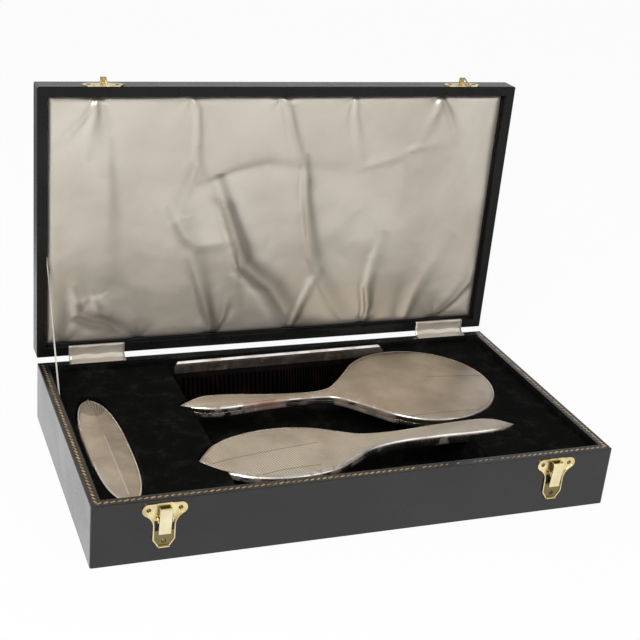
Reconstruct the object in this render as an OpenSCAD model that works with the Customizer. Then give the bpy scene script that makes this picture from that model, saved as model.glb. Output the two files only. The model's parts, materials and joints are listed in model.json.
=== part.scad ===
// Fitted dressing box: a hinged leatherette case that holds a silver-backed hand mirror,
// hairbrush, clothes brush and comb in a velvet tray, with a padded satin lid lining.
// Millimetres, +Z up, +X along the front, origin at the centre of the underside.
// The lid is drawn closed by its modules and turned back to its open rest place.

/* [Case] */
// Width of the case along the front
case_w = 420; // [400:5:460]
// Depth of the case from front to back
case_d = 232; // [226:2:250]
// Height of the base to its rim
base_h = 50.5; // [48:0.5:60]
// Height of the lid from its rim to its top
lid_h = 19; // [17:0.5:26]
// Thickness of the walls with their covering
wall_t = 8; // [7:0.5:10]
// Thickness of the base board and of the lid board
board_t = 3.2; // [2.5:0.1:5]
// Thickness of the leatherette covering
cover_t = 0.8; // [0.5:0.1:1.2]
// How far the covering is turned down inside the walls
turn_in = 11; // [6:0.5:14]
// Radius of the outer edges of the case
edge_r = 1.8; // [1:0.1:2]
// Gap between the rims when the lid is shut
lid_gap = 0.2; // [0.1:0.05:0.5]

/* [Tray] */
// Thickness of the liner that stands inside the base walls
liner_t = 2; // [1.6:0.1:3]
// How far the liner stops below the rim
liner_drop = 1.8; // [1.6:0.1:3]
// Height of the two side platforms of the tray
platform_h = 44.6; // [42:0.2:46]
// Height of the floor of the middle well
well_floor_h = 10; // [8:0.5:12]
// Left end of the middle well
well_left = -100; // [-104:1:-98]
// Right end of the middle well
well_right = 110; // [108:1:116]
// Free room round a piece in its pocket
pocket_gap = 1.4; // [0.8:0.1:2]
// Height of a piece above the pocket that carries it
seat_gap = 0.2; // [0.1:0.05:0.3]

/* [Hinges] */
// Distance of the hinge pin behind the back wall
pin_back = 2.63; // [2.5:0.05:3.5]
// Height of the hinge pin above the base rim
pin_up = 0.98; // [0.8:0.05:1.2]
// Radius of the hinge knuckles
knuckle_r = 2.2; // [1.8:0.05:2.3]
// Radius of the hinge pins
hinge_pin_r = 0.9; // [0.7:0.05:1.1]
// Length of each hinge
hinge_l = 44; // [36:1:50]
// Thickness of the hinge leaves
leaf_t = 1; // [0.8:0.1:1.2]
// Width of the hinge leaves on the rims
leaf_w = 7; // [5:0.5:7.2]
// Distance of the left hinge from the left end of the case
hinge_left = 51; // [45:1:60]
// Distance of the right hinge from the right end of the case
hinge_right = 44; // [40:1:60]
// Running clearance of the pins in their holes
pin_clearance = 0.05; // [0.02:0.01:0.1]
// Width of the satin tabs over the hinges
tab_w = 48; // [44:1:54]
// Thickness of the satin tabs
tab_t = 0.5; // [0.3:0.1:0.8]

/* [Ribbon stay] */
// Width of the ribbon
ribbon_w = 10; // [6:0.5:14]
// Thickness of the ribbon
ribbon_t = 0.4; // [0.3:0.05:0.5]
// Distance of the ribbon's upper hold from the hinge pin
ribbon_lid = 88; // [70:1:110]
// Distance of the ribbon's lower hold from the hinge pin
ribbon_base = 62; // [50:1:80]

/* [Lining] */
// Depth of the satin's edge below the lid rim
satin_edge = 7; // [6:0.5:8]
// Depth of the satin's crown below the lid rim
satin_crown = 4.7; // [4.5:0.1:6]
// Thickness of the card behind the satin
card_t = 1.4; // [1:0.1:2]
// Room left round the satin pad
satin_gap = 1.2; // [1:0.1:2]

/* [Latches] */
// Distance of the left latch from the left end of the case
latch_left = 52.5; // [40:0.5:70]
// Distance of the right latch from the right end of the case
latch_right = 51; // [40:0.5:70]
// Height of the screw ears of the latch plates
ear_h = 43; // [42.5:0.1:43.5]
// Spacing of the two ear holes
ear_spacing = 23.2; // [22:0.2:25]
// Radius of the ears
ear_r = 4.9; // [4.4:0.1:5.2]
// Width of the lower part of the latch plate
plate_w = 16.5; // [16:0.1:18]
// Lowest point of the latch plate
plate_low = 12; // [9:0.5:12.5]
// Thickness of the latch and keeper sheet
sheet_t = 0.8; // [0.7:0.05:0.9]
// Height of the rolled edge above the plates
rolled_edge = 0.5; // [0.3:0.05:0.7]
// Radius of the brads' heads
brad_head_r = 1.7; // [1:0.1:1.8]
// Radius of the brads' shanks
brad_r = 0.7; // [0.5:0.05:0.8]
// Length of the brads' shanks in the wall
brad_l = 5; // [3:0.5:5.5]
// Height of the lever's pivot
pivot_h = 36; // [35:0.5:37]
// Distance of the lever's pivot in front of the wall
pivot_out = 2.5; // [2.4:0.05:2.6]
// Radius of the lever's pin
lever_pin_r = 0.7; // [0.6:0.05:0.75]
// Width of the lever
lever_w = 9.3; // [8.5:0.1:9.6]
// Lower end of the lever
lever_low = 24.2; // [23.5:0.1:25]
// Upper edge of the lever's face
lever_high = 44; // [43.6:0.1:44.2]
// Stand-off of the lever's face at its upper edge
lever_out = 5.2; // [5:0.1:5.6]
// Stand-off of the lever's face at its lower end
lever_foot_out = 3.4; // [3.3:0.05:3.6]
// Width of the keeper's tongue
tongue_w = 4.4; // [3.6:0.1:5]
// Length of the keeper's plate
keeper_w = 33; // [31:0.5:36]
// Height of the keeper's plate
keeper_h = 9.6; // [9:0.1:11]

/* [Mirror] */
// Left tip of the mirror's handle
mirror_tip_x = -108.7; // [-110:0.1:-106]
// Room between the mirror's head and the back of the tray, where the comb leans
comb_room = 7.8; // [7.8:0.1:8.8]
// Radius of the mirror's head as a share of the depth of the case
mirror_share = 0.2853; // [0.28:0.0001:0.2853]
// Distance from the handle's tip to the middle of the head
mirror_reach = 216.5; // [214:0.1:217]
// Height of the mirror's upper rim
mirror_top = 45; // [44:0.1:46]
// Thickness of the mirror's head
mirror_t = 9; // [8:0.5:9.5]
// Width of the silver rim round the mirror glass
mirror_rim_w = 4.2; // [3.4:0.1:8]
// Thickness of the mirror glass
glass_t = 2.8; // [2:0.1:3]

/* [Hairbrush] */
// Left tip of the hairbrush's head
hairbrush_tip_x = -117; // [-118:0.5:-115]
// Distance of the left tip in front of the middle, as a share of the depth of the case
hairbrush_tip_share = 0.25; // [0.247:0.001:0.253]
// Turn of the hairbrush in its well, in degrees
hairbrush_turn = 1.6; // [0:0.1:2]
// Height of the rim of the hairbrush's head
hairbrush_top = 43.5; // [42.5:0.1:44]
// Length of the hairbrush
hairbrush_l = 275; // [270:1:278]
// Width of the hairbrush's head
hairbrush_w = 76; // [70:1:77]
// Length of the hairbrush's bristles
hair_bristle_l = 19; // [12:0.5:20]

/* [Clothes brush] */
// Length of the clothes brush
clothes_brush_l = 163; // [150:1:163]
// Width of the clothes brush
clothes_brush_w = 34; // [30:0.5:36]
// Height of the rim of the clothes brush
clothes_brush_top = 43.6; // [43:0.1:44.5]
// Distance of the clothes brush from the liner
clothes_brush_side = 4.5; // [3:0.1:6]
// Length of the clothes brush's bristles
clothes_bristle_l = 14; // [10:0.5:18]

/* [Comb] */
// Length of the comb
comb_l = 197; // [180:1:198]
// Thickness of the comb's silver mount
comb_t = 5; // [4:0.1:5]
// Depth of the comb's silver mount
comb_mount_h = 10; // [8:0.5:12]
// Thickness of the comb's teeth at their root
comb_tooth_t = 2.6; // [2:0.1:2.8]
// Depth of the plain band under the mount
comb_band_h = 5; // [4:0.5:6]
// Length of the comb's teeth
comb_tooth_l = 24; // [20:0.5:24]
// Lean of the comb against the back of the well, in degrees
comb_lean = 15; // [14:0.5:15]
// Rise of the comb to the right, in degrees
comb_rise = 0.6; // [0:0.1:1]
// Distance of the comb's back edge from the liner
comb_wall_gap = 1.3; // [1.3:0.1:1.4]
// Number of coarse teeth
coarse_teeth = 22; // [16:1:24]
// Number of fine teeth
fine_teeth = 34; // [24:1:36]

/* [Hidden] */
$fn = 48;

LEATHERETTE = [0.13, 0.13, 0.14];
VELVET = [0.04, 0.04, 0.045];
WOOD = [0.62, 0.48, 0.32];
SATIN = [0.8, 0.77, 0.71];
BRASS = [0.85, 0.72, 0.4];
SILVER = [0.78, 0.74, 0.68];
SHELL = [0.2, 0.07, 0.05];

// Derived places of the case
front_y = -case_d/2;
back_y = case_d/2;
in_w = case_w - 2*wall_t;
in_d = case_d - 2*wall_t;
wood_in = wall_t - cover_t;
floor_top = cover_t + board_t;
lid_rim = base_h + lid_gap;
lid_top = lid_rim + lid_h;
lid_ceiling = lid_top - cover_t - board_t;
pin_y = back_y + pin_back;
pin_z = base_h + pin_up;
tray_w = in_w - 2*liner_t;
tray_d = in_d - 2*liner_t;
hinge_left_x = hinge_left - case_w/2;
hinge_right_x = case_w/2 - hinge_right;
latch_left_x = latch_left - case_w/2;
latch_right_x = case_w/2 - latch_right;
eps = 0.01;

// Plane shapes

// A rectangle about the origin with true round corners
module round_rect(w, d, r) {
    square([w - 2*r, d], center = true);
    square([w, d - 2*r], center = true);
    for (sx = [-1, 1], sy = [-1, 1])
        translate([sx*(w/2 - r), sy*(d/2 - r)]) circle(r);
}

// A box about the Z axis between two heights
module slab(w, d, z0, z1) {
    translate([-w/2, -d/2, z0]) cube([w, d, z1 - z0]);
}

// The bar that rounds a straight edge along X when it is taken away
module edge_cutter(length, r) {
    difference() {
        translate([-length/2, -r, -r]) cube([length, 2*r, 2*r]);
        translate([-length/2 - 1, -r, -r]) rotate([0, 90, 0]) cylinder(r = r, h = length + 2);
    }
}

// Round edges of a case half: z is the level of the edge, up is 1 for an upper edge
module rim_cutters(z, up, r) {
    for (a = [0, 180]) rotate([0, 0, a])
        translate([0, case_d/2, z]) scale_flip(up) edge_cutter(case_w + 2, r);
    for (a = [90, 270]) rotate([0, 0, a])
        translate([0, case_w/2, z]) scale_flip(up) edge_cutter(case_d + 2, r);
}

module scale_flip(up) {
    if (up > 0) children();
    else mirror([0, 0, 1]) children();
}

// Moves the closed lid to its open rest place, a quarter turn about the hinge pin
module open_lid() {
    translate([0, pin_y, pin_z]) rotate([-90, 0, 0]) translate([0, -pin_y, -pin_z]) children();
}

// Draws in a frame on the front wall: X along it, Y up, Z out of it
module on_front() {
    translate([0, front_y, 0]) rotate([90, 0, 0]) children();
}

// Base

module leaf_pocket(x, z0) {
    translate([x - hinge_l/2, back_y - leaf_w, z0]) cube([hinge_l, leaf_w + 1, leaf_t]);
}

module hinge_pockets(z0) {
    leaf_pocket(hinge_left_x, z0);
    leaf_pocket(hinge_right_x, z0);
}

module base_carcass() {
    color(WOOD) difference() {
        slab(case_w - 2*cover_t, case_d - 2*cover_t, cover_t, base_h - cover_t);
        slab(in_w + 2*cover_t, in_d + 2*cover_t, base_h - turn_in, base_h + 1);
        slab(in_w, in_d, floor_top, base_h);
        hinge_pockets(base_h - leaf_t);
        hinge_screw_places() screw_hole();
        latch_brad_places() brad_hole();
    }
}

module base_covering() {
    color(LEATHERETTE) difference() {
        linear_extrude(base_h) round_rect(case_w, case_d, edge_r);
        slab(case_w - 2*cover_t, case_d - 2*cover_t, -1, base_h - cover_t);
        slab(in_w, in_d, -2, base_h + 1);
        rim_cutters(base_h, 1, edge_r/2);
        hinge_pockets(base_h - leaf_t);
        latch_brad_places() brad_hole();
    }
    color(LEATHERETTE) difference() {
        slab(in_w + 2*cover_t, in_d + 2*cover_t, base_h - turn_in, base_h - cover_t);
        slab(in_w, in_d, -2, base_h + 1);
        hinge_pockets(base_h - leaf_t);
    }
}

module base_underside_sheet() {
    color(LEATHERETTE) slab(case_w - 2*cover_t, case_d - 2*cover_t, 0, cover_t);
}

ribbon_x = -in_w/2 + 0.3;
ribbon_low_y = pin_y - ribbon_base;

module base_liner() {
    color(VELVET) difference() {
        slab(in_w, in_d, floor_top, base_h - liner_drop);
        slab(tray_w, tray_d, floor_top - 1, base_h);
        translate([-in_w/2 - 1, ribbon_low_y - ribbon_w*1.5, base_h - turn_in])
            cube([1 + 0.4*liner_t, ribbon_w*2.6, turn_in + 1]);
    }
}

// Outlines of the pieces
// A row is a station along a piece: place, half width, bevel width, height of the top edge,
// drop of the bevel. Rows are joined by a smooth curve.

function smooth_row(rows, t) =
    let (i = min(floor(t), len(rows) - 2), f = t - i,
         a = rows[max(i - 1, 0)], b = rows[i], c = rows[i + 1],
         d = rows[min(i + 2, len(rows) - 1)])
    0.5*(2*b + (c - a)*f + (2*a - 5*b + 4*c - d)*f*f + (3*b - a - 3*c + d)*f*f*f);

function stations(rows, steps) =
    [for (k = [0 : steps*(len(rows) - 1)]) smooth_row(rows, k/steps)];

// Outward normal of the right edge at station i
function edge_normal(st, i) =
    let (n = len(st) - 1, p = st[max(i - 1, 0)], q = st[min(i + 1, n)],
         dx = q[0] - p[0], dy = q[1] - p[1], l = norm([dx, dy]))
    i == 0 ? [-1, 0] : i == n ? [1, 0] : [-dy/l, dx/l];

// Right edge moved out by g, or in where g is negative
function edge_point(st, i, g) =
    let (m = edge_normal(st, i)) [st[i][0] + g*m[0], max(st[i][1] + g*m[1], 0.02)];

// The closed outline of a piece, moved out by g all round
function outline(st, g) =
    let (n = len(st) - 1)
    concat([for (i = [0 : n]) let (p = edge_point(st, i, g)) [p[0], -p[1]]],
           [for (i = [n : -1 : 0]) edge_point(st, i, g)]);

// A level is one ring of the skin: [share of the bevel, extra inset, share of the drop, lift].
// A fifth number, where there is one, is a fixed height that takes the place of the rest.
function ring_point(st, i, level, side) =
    let (s = st[i], p = edge_point(st, i, -(level[0]*s[2] + level[1]*min(1, s[1]/4))))
    [p[0], side*p[1], len(level) > 4 ? level[4] : s[3] - level[2]*s[4] + level[3]];

// The crown of the top face at a share of its width, from 1 at the edge to 0 in the middle
function crown_point(st, i, share, side, rise) =
    let (s = st[i], p = edge_point(st, i, -s[2]))
    [p[0], side*max(p[1]*share, 0.01), s[3] + rise*(0.3 + 0.02*p[1])*(1 - share*share)];

// A closed skin over stations: rings of levels, a flat bottom and a crowned top.
// Where rise is below zero the top is flat too.
module skin(st, levels, rise) {
    n = len(st);
    shares = rise < 0 ? [] : [0.66, 0.33, 0];
    rings = len(levels) + len(shares);
    points = [for (l = levels, side = [-1, 1], i = [0 : n - 1]) ring_point(st, i, l, side),
              for (c = shares, side = [-1, 1], i = [0 : n - 1])
                  crown_point(st, i, c, side, rise)];
    function at(r, s, i) = (2*r + s)*n + i;
    faces = concat(
        [for (r = [0 : rings - 2], i = [0 : n - 2])
            each [[at(r, 0, i), at(r + 1, 0, i), at(r + 1, 0, i + 1)],
                  [at(r, 0, i), at(r + 1, 0, i + 1), at(r, 0, i + 1)],
                  [at(r, 1, i), at(r + 1, 1, i + 1), at(r + 1, 1, i)],
                  [at(r, 1, i), at(r, 1, i + 1), at(r + 1, 1, i + 1)]]],
        [for (r = [0 : rings - 2])
            each [[at(r, 0, 0), at(r, 1, 0), at(r + 1, 1, 0)],
                  [at(r, 0, 0), at(r + 1, 1, 0), at(r + 1, 0, 0)],
                  [at(r, 0, n - 1), at(r + 1, 1, n - 1), at(r, 1, n - 1)],
                  [at(r, 0, n - 1), at(r + 1, 0, n - 1), at(r + 1, 1, n - 1)]]],
        [for (i = [0 : n - 2])
            each [[at(0, 0, i), at(0, 0, i + 1), at(0, 1, i + 1)],
                  [at(0, 0, i), at(0, 1, i + 1), at(0, 1, i)],
                  [at(rings - 1, 0, i), at(rings - 1, 1, i + 1), at(rings - 1, 0, i + 1)],
                  [at(rings - 1, 0, i), at(rings - 1, 1, i), at(rings - 1, 1, i + 1)]]]);
    polyhedron(points, faces);
}

// Hand mirror

mirror_r = mirror_share*case_d;
mirror_y = tray_d/2 - comb_room - mirror_r;
glass_r = mirror_r - mirror_rim_w;
neck_angle = 36;
handle_l = mirror_reach - mirror_r*cos(neck_angle);
handle_rows = [
    [0, 0.3, 0.1, mirror_top - 2.2, 0.3],
    [0.123*handle_l, 10.3, 2.6, mirror_top, 2],
    [0.221*handle_l, 11.8, 3, mirror_top, 2.4],
    [0.331*handle_l, 10.2, 2.8, mirror_top - 0.2, 2.4],
    [0.466*handle_l, 7, 2.5, mirror_top - 0.8, 2],
    [0.614*handle_l, 5.5, 2.2, mirror_top - 1.4, 1.8],
    [0.73*handle_l, 5.4, 2.1, mirror_top - 1.6, 1.7],
    [0.822*handle_l, 8.8, 2.2, mirror_top - 1.1, 1.7],
    [0.902*handle_l, 20.5, 2, mirror_top - 0.5, 2],
    [handle_l, mirror_r*sin(neck_angle), 2, mirror_top, 1.6]];
head_step = 9;
mirror_stations = concat(
    stations(handle_rows, 4),
    [for (a = [neck_angle + head_step : head_step : 180 - eps])
        [mirror_reach - mirror_r*cos(a), mirror_r*sin(a), 2, mirror_top, 1.6]],
    [[mirror_reach + mirror_r, 0.3, 2, mirror_top, 1.6]]);
mirror_bottom = mirror_top - mirror_t;
mirror_split = mirror_bottom + 3.6;

module at_mirror() {
    translate([mirror_tip_x, mirror_y, 0]) children();
}

module mirror_back() {
    color(SILVER) at_mirror() difference() {
        skin(mirror_stations, [[0, 0, 0, 0, mirror_split], [0, 0, 1, 0], [1, 0, 0, 0]], 1);
        translate([mirror_reach, 0, mirror_split - 1]) cylinder(r = glass_r, h = 1 + 2.4);
    }
}

module mirror_front_frame() {
    color(SILVER) at_mirror() difference() {
        skin(mirror_stations, [[0, 0.6, 0, 0, mirror_bottom], [0, 0, 0, 0, mirror_bottom + 1.4],
                               [0, 0, 0, 0, mirror_split]], -1);
        translate([mirror_reach, 0, mirror_split - glass_t]) cylinder(r = glass_r, h = 10);
        translate([mirror_reach, 0, 0]) cylinder(r = glass_r - 1.6, h = base_h);
    }
}

module mirror_glass() {
    color([0.75, 0.8, 0.82]) at_mirror() translate([mirror_reach, 0, mirror_split - glass_t])
        cylinder(r = glass_r, h = glass_t);
}

module mirror_packing() {
    color(WOOD) at_mirror() translate([mirror_reach, 0, mirror_split])
        cylinder(r = glass_r, h = 2.4);
}

// Hairbrush

hairbrush_tip_y = -hairbrush_tip_share*case_d;
hairbrush_low = hairbrush_top - 5.6;
half_head = hairbrush_w/2;
head_l = 0.549*hairbrush_l;
tail = hairbrush_l - head_l;
hairbrush_rows = [
    [0, 0.4, 0.2, hairbrush_top - 1.2, 0.5],
    [0.093*head_l, 0.47*half_head, 2, hairbrush_top - 0.3, 2],
    [0.219*head_l, 0.77*half_head, 3, hairbrush_top, 3],
    [0.371*head_l, 0.95*half_head, 3, hairbrush_top, 3],
    [0.53*head_l, half_head, 3, hairbrush_top, 3],
    [0.689*head_l, 0.86*half_head, 3, hairbrush_top, 3],
    [0.821*head_l, 0.57*half_head, 3, hairbrush_top + 0.4, 4],
    [0.927*head_l, 0.34*half_head, 2.8, hairbrush_top + 1, 4.6],
    [head_l + 0.12*tail, 0.234*half_head, 2.6, hairbrush_top + 2.1, 5],
    [head_l + 0.4*tail, 0.253*half_head, 2.8, hairbrush_top + 3.2, 5.5],
    [head_l + 0.7*tail, 0.289*half_head, 3, hairbrush_top + 3.4, 6],
    [head_l + 0.87*tail, 0.226*half_head, 2.4, hairbrush_top + 2.6, 4.5],
    [hairbrush_l, 0.3, 0.1, hairbrush_top - 0.6, 0.3]];
hairbrush_stations = stations(hairbrush_rows, 3);
hairbrush_pad_t = 7;
pad_x = 0.477*head_l;
pad_half = 0.344*head_l;

module at_hairbrush() {
    translate([hairbrush_tip_x, hairbrush_tip_y, 0]) rotate([0, 0, hairbrush_turn]) children();
}

// The oval under the head, between two heights and drawn in by g
module head_block(z0, z1, g) {
    translate([0, 0, z0]) linear_extrude(z1 - z0)
        polygon([for (a = [0 : 7.5 : 359])
            [pad_x + (pad_half - g)*cos(a), (half_head - 4 - g)*sin(a)*(1 - 0.12*cos(a))]]);
}

module hairbrush_back() {
    color(SILVER) at_hairbrush() difference() {
        skin(hairbrush_stations, [[0, 2.2, 0, 0, hairbrush_low], [0, 0, 1, -1.6], [0, 0, 1, 0],
                                  [1, 0, 0, 0]], 1.6);
        head_block(0, hairbrush_top - 3.4, 0);
    }
}

module hairbrush_pad() {
    color(WOOD) at_hairbrush() head_block(hairbrush_top - 3.4 - hairbrush_pad_t,
                                          hairbrush_top - 3.4, 0);
}

// One bristle: a three-sided taper from the pad down, at a place in the pad's plane
function bristle_points(p, z, l, r) =
    [for (k = [0, 1], a = [0, 120, 240])
        [p[0] + (k == 0 ? r : 0.6*r)*cos(a), p[1] + (k == 0 ? r : 0.6*r)*sin(a),
         k == 0 ? z : z - l]];
function bristle_faces(o) = [
    [o + 2, o + 1, o], [o + 3, o + 4, o + 5],
    [o + 4, o + 3, o], [o + 1, o + 4, o], [o + 5, o + 4, o + 1], [o + 2, o + 5, o + 1],
    [o + 3, o + 5, o + 2], [o, o + 3, o + 2]];

module bristles(places, z, l, r) {
    points = [for (p = places) each bristle_points(p, z, l, r)];
    faces = [for (k = [0 : len(places) - 1]) each bristle_faces(6*k)];
    polyhedron(points, faces);
}

tuft_r = 1;
hair_pitch = 4.8;
hair_places = [for (j = [-8 : 8], i = [-12 : 12])
    let (x = hair_pitch*(i + (j % 2 == 0 ? 0 : 0.5)), y = 0.88*hair_pitch*j)
    if (pow(x/(pad_half - 5), 2) + pow(y/(half_head - 8), 2) < 1) [pad_x + x, y]];

module hairbrush_bristles() {
    z = hairbrush_top - 3.4 - hairbrush_pad_t;
    color([0.12, 0.08, 0.06]) at_hairbrush() {
        head_block(z - 0.8, z, 3);
        bristles(hair_places, z - 0.4, hair_bristle_l, tuft_r);
    }
}

// Clothes brush, with its long axis from front to back

clothes_brush_x = -in_w/2 + liner_t + clothes_brush_side + clothes_brush_w/2;
clothes_brush_y = -tray_d/2 + 1.5 + clothes_brush_l/2;
clothes_half = clothes_brush_l/2;
clothes_stations = [for (k = [-16 : 16])
    let (t = sin(90*k/16), w = clothes_brush_w/2*pow(1 - pow(abs(t), 2.6) + 0.0001, 0.5))
    [clothes_half*(1 + t), max(w, 0.3), min(2.2, 0.5*w), clothes_brush_top - 1*t*t, 2]];
clothes_pad_t = 6;

module at_clothes_brush() {
    translate([clothes_brush_x, clothes_brush_y - clothes_half, 0]) rotate([0, 0, 90])
        children();
}

module clothes_block(z0, z1, g) {
    translate([0, 0, z0]) linear_extrude(z1 - z0)
        polygon([for (a = [0 : 7.5 : 359])
            [clothes_half + (clothes_half - 8 - g)*cos(a),
             (clothes_brush_w/2 - 2.6 - g)*sin(a)]]);
}

module clothes_brush_back() {
    color(SILVER) at_clothes_brush() difference() {
        skin(clothes_stations, [[0, 0.8, 1, -2.6], [0, 0, 1, -1.6], [0, 0, 1, 0],
                                [1, 0, 0, 0]], 3.2);
        clothes_block(0, clothes_brush_top - 3, 0);
    }
}

module clothes_brush_pad() {
    color(WOOD) at_clothes_brush()
        clothes_block(clothes_brush_top - 3 - clothes_pad_t, clothes_brush_top - 3, 0);
}

clothes_pitch = 4.8;
clothes_places = [for (j = [-3 : 3], i = [-15 : 15])
    let (x = clothes_pitch*(i + (j % 2 == 0 ? 0 : 0.5)), y = 0.9*clothes_pitch*j)
    if (pow(x/(clothes_half - 10), 2) + pow(y/(clothes_brush_w/2 - 4.5), 2) < 1)
        [clothes_half + x, y]];

module clothes_brush_bristles() {
    z = clothes_brush_top - 3 - clothes_pad_t;
    color([0.16, 0.12, 0.09]) at_clothes_brush() {
        clothes_block(z - 0.8, z, 1.6);
        bristles(clothes_places, z - 0.4, clothes_bristle_l, tuft_r);
    }
}

// Comb, standing on its teeth and leaning on the back of the well

comb_total_h = comb_mount_h + comb_band_h + comb_tooth_l;
comb_left_x = (well_left + well_right)/2 - comb_l/2 - 1;

comb_back = comb_t/2*cos(comb_lean) + (comb_total_h - comb_mount_h + 6.5)*sin(comb_lean);

// Draws the comb in its own plane: X along it, Z up from the tips of the teeth
module at_comb() {
    translate([comb_left_x, tray_d/2 - comb_wall_gap - comb_back,
               well_floor_h + seat_gap + comb_tooth_t/2*sin(comb_lean)])
        rotate([-comb_lean, -comb_rise, 0]) children();
}

module comb_mount() {
    base = comb_total_h - comb_mount_h;
    color(SILVER) at_comb() difference() {
        intersection() {
            rotate([90, 0, 90]) linear_extrude(comb_l)
                polygon([[-comb_t/2, base], [comb_t/2, base], [comb_t/2, base + 6.5],
                         [comb_t/2 - 1.6, comb_total_h], [-comb_t/2 + 1.6, comb_total_h],
                         [-comb_t/2, base + 6.5]]);
            rotate([90, 0, 0]) translate([0, 0, -comb_t]) linear_extrude(2*comb_t)
                polygon([[0, base], [comb_l, base], [comb_l, base + 5.5],
                         [comb_l - 4, comb_total_h], [4, comb_total_h], [0, base + 5.5]]);
        }
        translate([1.5, -comb_tooth_t/2, base - 1]) cube([comb_l - 3, comb_tooth_t, 5]);
    }
}

// Teeth as one flat outline: a band with a guard at each end and two grades of teeth
module tooth(x, w) {
    polygon([[x, comb_tooth_l + 1], [x, 5], [x + w*0.3, 0], [x + w*0.7, 0], [x + w, 5],
             [x + w, comb_tooth_l + 1]]);
}

guard_w = 7;
teeth_room = comb_l - 3 - 2*guard_w;
coarse_pitch = teeth_room*0.5/coarse_teeth;
fine_pitch = teeth_room*0.5/fine_teeth;

module comb_teeth() {
    base = comb_total_h - comb_mount_h;
    color(SHELL) at_comb() translate([1.5, comb_tooth_t/2, 0]) rotate([90, 0, 0])
        linear_extrude(comb_tooth_t) {
            translate([0, comb_tooth_l]) square([comb_l - 3, comb_band_h + 4]);
            polygon([[0, comb_tooth_l + 1], [0, 6], [3, 0], [guard_w - 2, 0],
                     [guard_w - 1, comb_tooth_l + 1]]);
            polygon([[comb_l - 2 - guard_w, comb_tooth_l + 1], [comb_l - 1 - guard_w, 0],
                     [comb_l - 6, 0], [comb_l - 3, 6], [comb_l - 3, comb_tooth_l + 1]]);
            for (i = [0 : coarse_teeth - 1])
                tooth(guard_w + coarse_pitch*(i + 0.2), coarse_pitch*0.6);
            for (i = [0 : fine_teeth - 1])
                tooth(guard_w + teeth_room/2 + fine_pitch*(i + 0.2), fine_pitch*0.6);
        }
}

// Tray: a block with a well, and pockets cut from the outlines of the pieces

module pocket(st, g, z) {
    translate([0, 0, z]) linear_extrude(base_h) polygon(outline(st, g));
}

module tray_pockets() {
    at_mirror() pocket(mirror_stations, pocket_gap, mirror_bottom - seat_gap);
    at_hairbrush() pocket(hairbrush_stations, pocket_gap, hairbrush_low - seat_gap);
    at_clothes_brush() {
        pocket(clothes_stations, pocket_gap, clothes_brush_top - 5.6 - seat_gap);
        clothes_block(clothes_brush_top - 3 - clothes_pad_t - clothes_bristle_l - 3,
                      base_h, -0.8);
    }
}

// A block of the tray between two places along the front
module tray_block(x0, x1) {
    color(VELVET) difference() {
        translate([x0, -tray_d/2, floor_top]) cube([x1 - x0, tray_d, platform_h - floor_top]);
        tray_pockets();
    }
}

module tray_well_floor() {
    color(VELVET) translate([well_left, -tray_d/2, floor_top])
        cube([well_right - well_left, tray_d, well_floor_h - floor_top]);
}

// Lid, drawn closed

module lid_carcass() {
    color(WOOD) open_lid() difference() {
        slab(case_w - 2*cover_t, case_d - 2*cover_t, lid_rim + cover_t, lid_top - cover_t);
        slab(in_w, in_d, lid_rim, lid_ceiling);
        slab(in_w + 2*cover_t, in_d + 2*cover_t, lid_rim, lid_rim + satin_edge);
        hinge_pockets(lid_rim);
        mirror_lid() hinge_screw_places() screw_hole();
        keeper_brad_places() brad_hole();
    }
}

module lid_covering() {
    color(LEATHERETTE) open_lid() difference() {
        translate([0, 0, lid_rim]) linear_extrude(lid_h) round_rect(case_w, case_d, edge_r);
        slab(case_w - 2*cover_t, case_d - 2*cover_t, lid_rim + cover_t, lid_top - cover_t);
        slab(in_w, in_d, lid_rim - 1, lid_rim + 2);
        rim_cutters(lid_rim, -1, edge_r/2);
        rim_cutters(lid_top, 1, edge_r);
        hinge_pockets(lid_rim);
        keeper_brad_places() brad_hole();
    }
    color(LEATHERETTE) open_lid() difference() {
        slab(in_w + 2*cover_t, in_d + 2*cover_t, lid_rim + cover_t, lid_rim + satin_edge);
        slab(in_w, in_d, lid_rim, lid_rim + satin_edge + 1);
        hinge_pockets(lid_rim);
    }
}

card_w = in_w - 2*satin_gap;
card_d = in_d - 2*satin_gap;

module lining_card() {
    color([0.7, 0.66, 0.58]) open_lid()
        slab(card_w, card_d, lid_ceiling - card_t, lid_ceiling);
}

// Satin pad: a crowned face with drawn-in sides and folds that run between pucker points.
// A fold is [x of one end, y of it, x of the other end, y of it, height, width].
satin_folds = [
    [-30, -106, 8, -30, 1.5, 7], [8, -30, -8, 104, 1.2, 9], [-60, -60, 6, -44, 1.1, 8],
    [-106, -104, -58, 10, 1.1, 9], [-58, 10, -8, 104, 1, 9], [60, -104, 40, 40, 0.9, 10],
    [140, -104, 110, 60, 0.8, 12], [-190, -20, -120, 100, 0.9, 9],
    [-150, 60, -75, 104, 1, 8], [170, 0, 140, 104, 0.9, 9], [60, 20, 65, 104, 0.8, 8]];

function segment_distance(p, f) =
    let (a = [f[0], f[1]], b = [f[2], f[3]], ab = b - a,
         t = max(0, min(1, (p - a)*ab/(ab*ab))))
    [norm(p - a - t*ab), t];

function fold_height(p, f) =
    let (d = segment_distance(p, f))
    f[4]*exp(-pow(d[0]/f[5], 2))*(0.35 + 0.65*sin(180*d[1]));

function satin_height(x, y) =
    let (u = abs(x)/(card_w/2), v = abs(y)/(card_d/2),
         crown = (1 - pow(u, 8))*(1 - pow(v, 6)),
         folds = [for (f = satin_folds) fold_height([x, y], f)])
    crown*min(1, 0.45 + 0.3*(folds*[for (f = folds) 1]));

satin_cells_x = 36;
satin_cells_y = 20;

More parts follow.
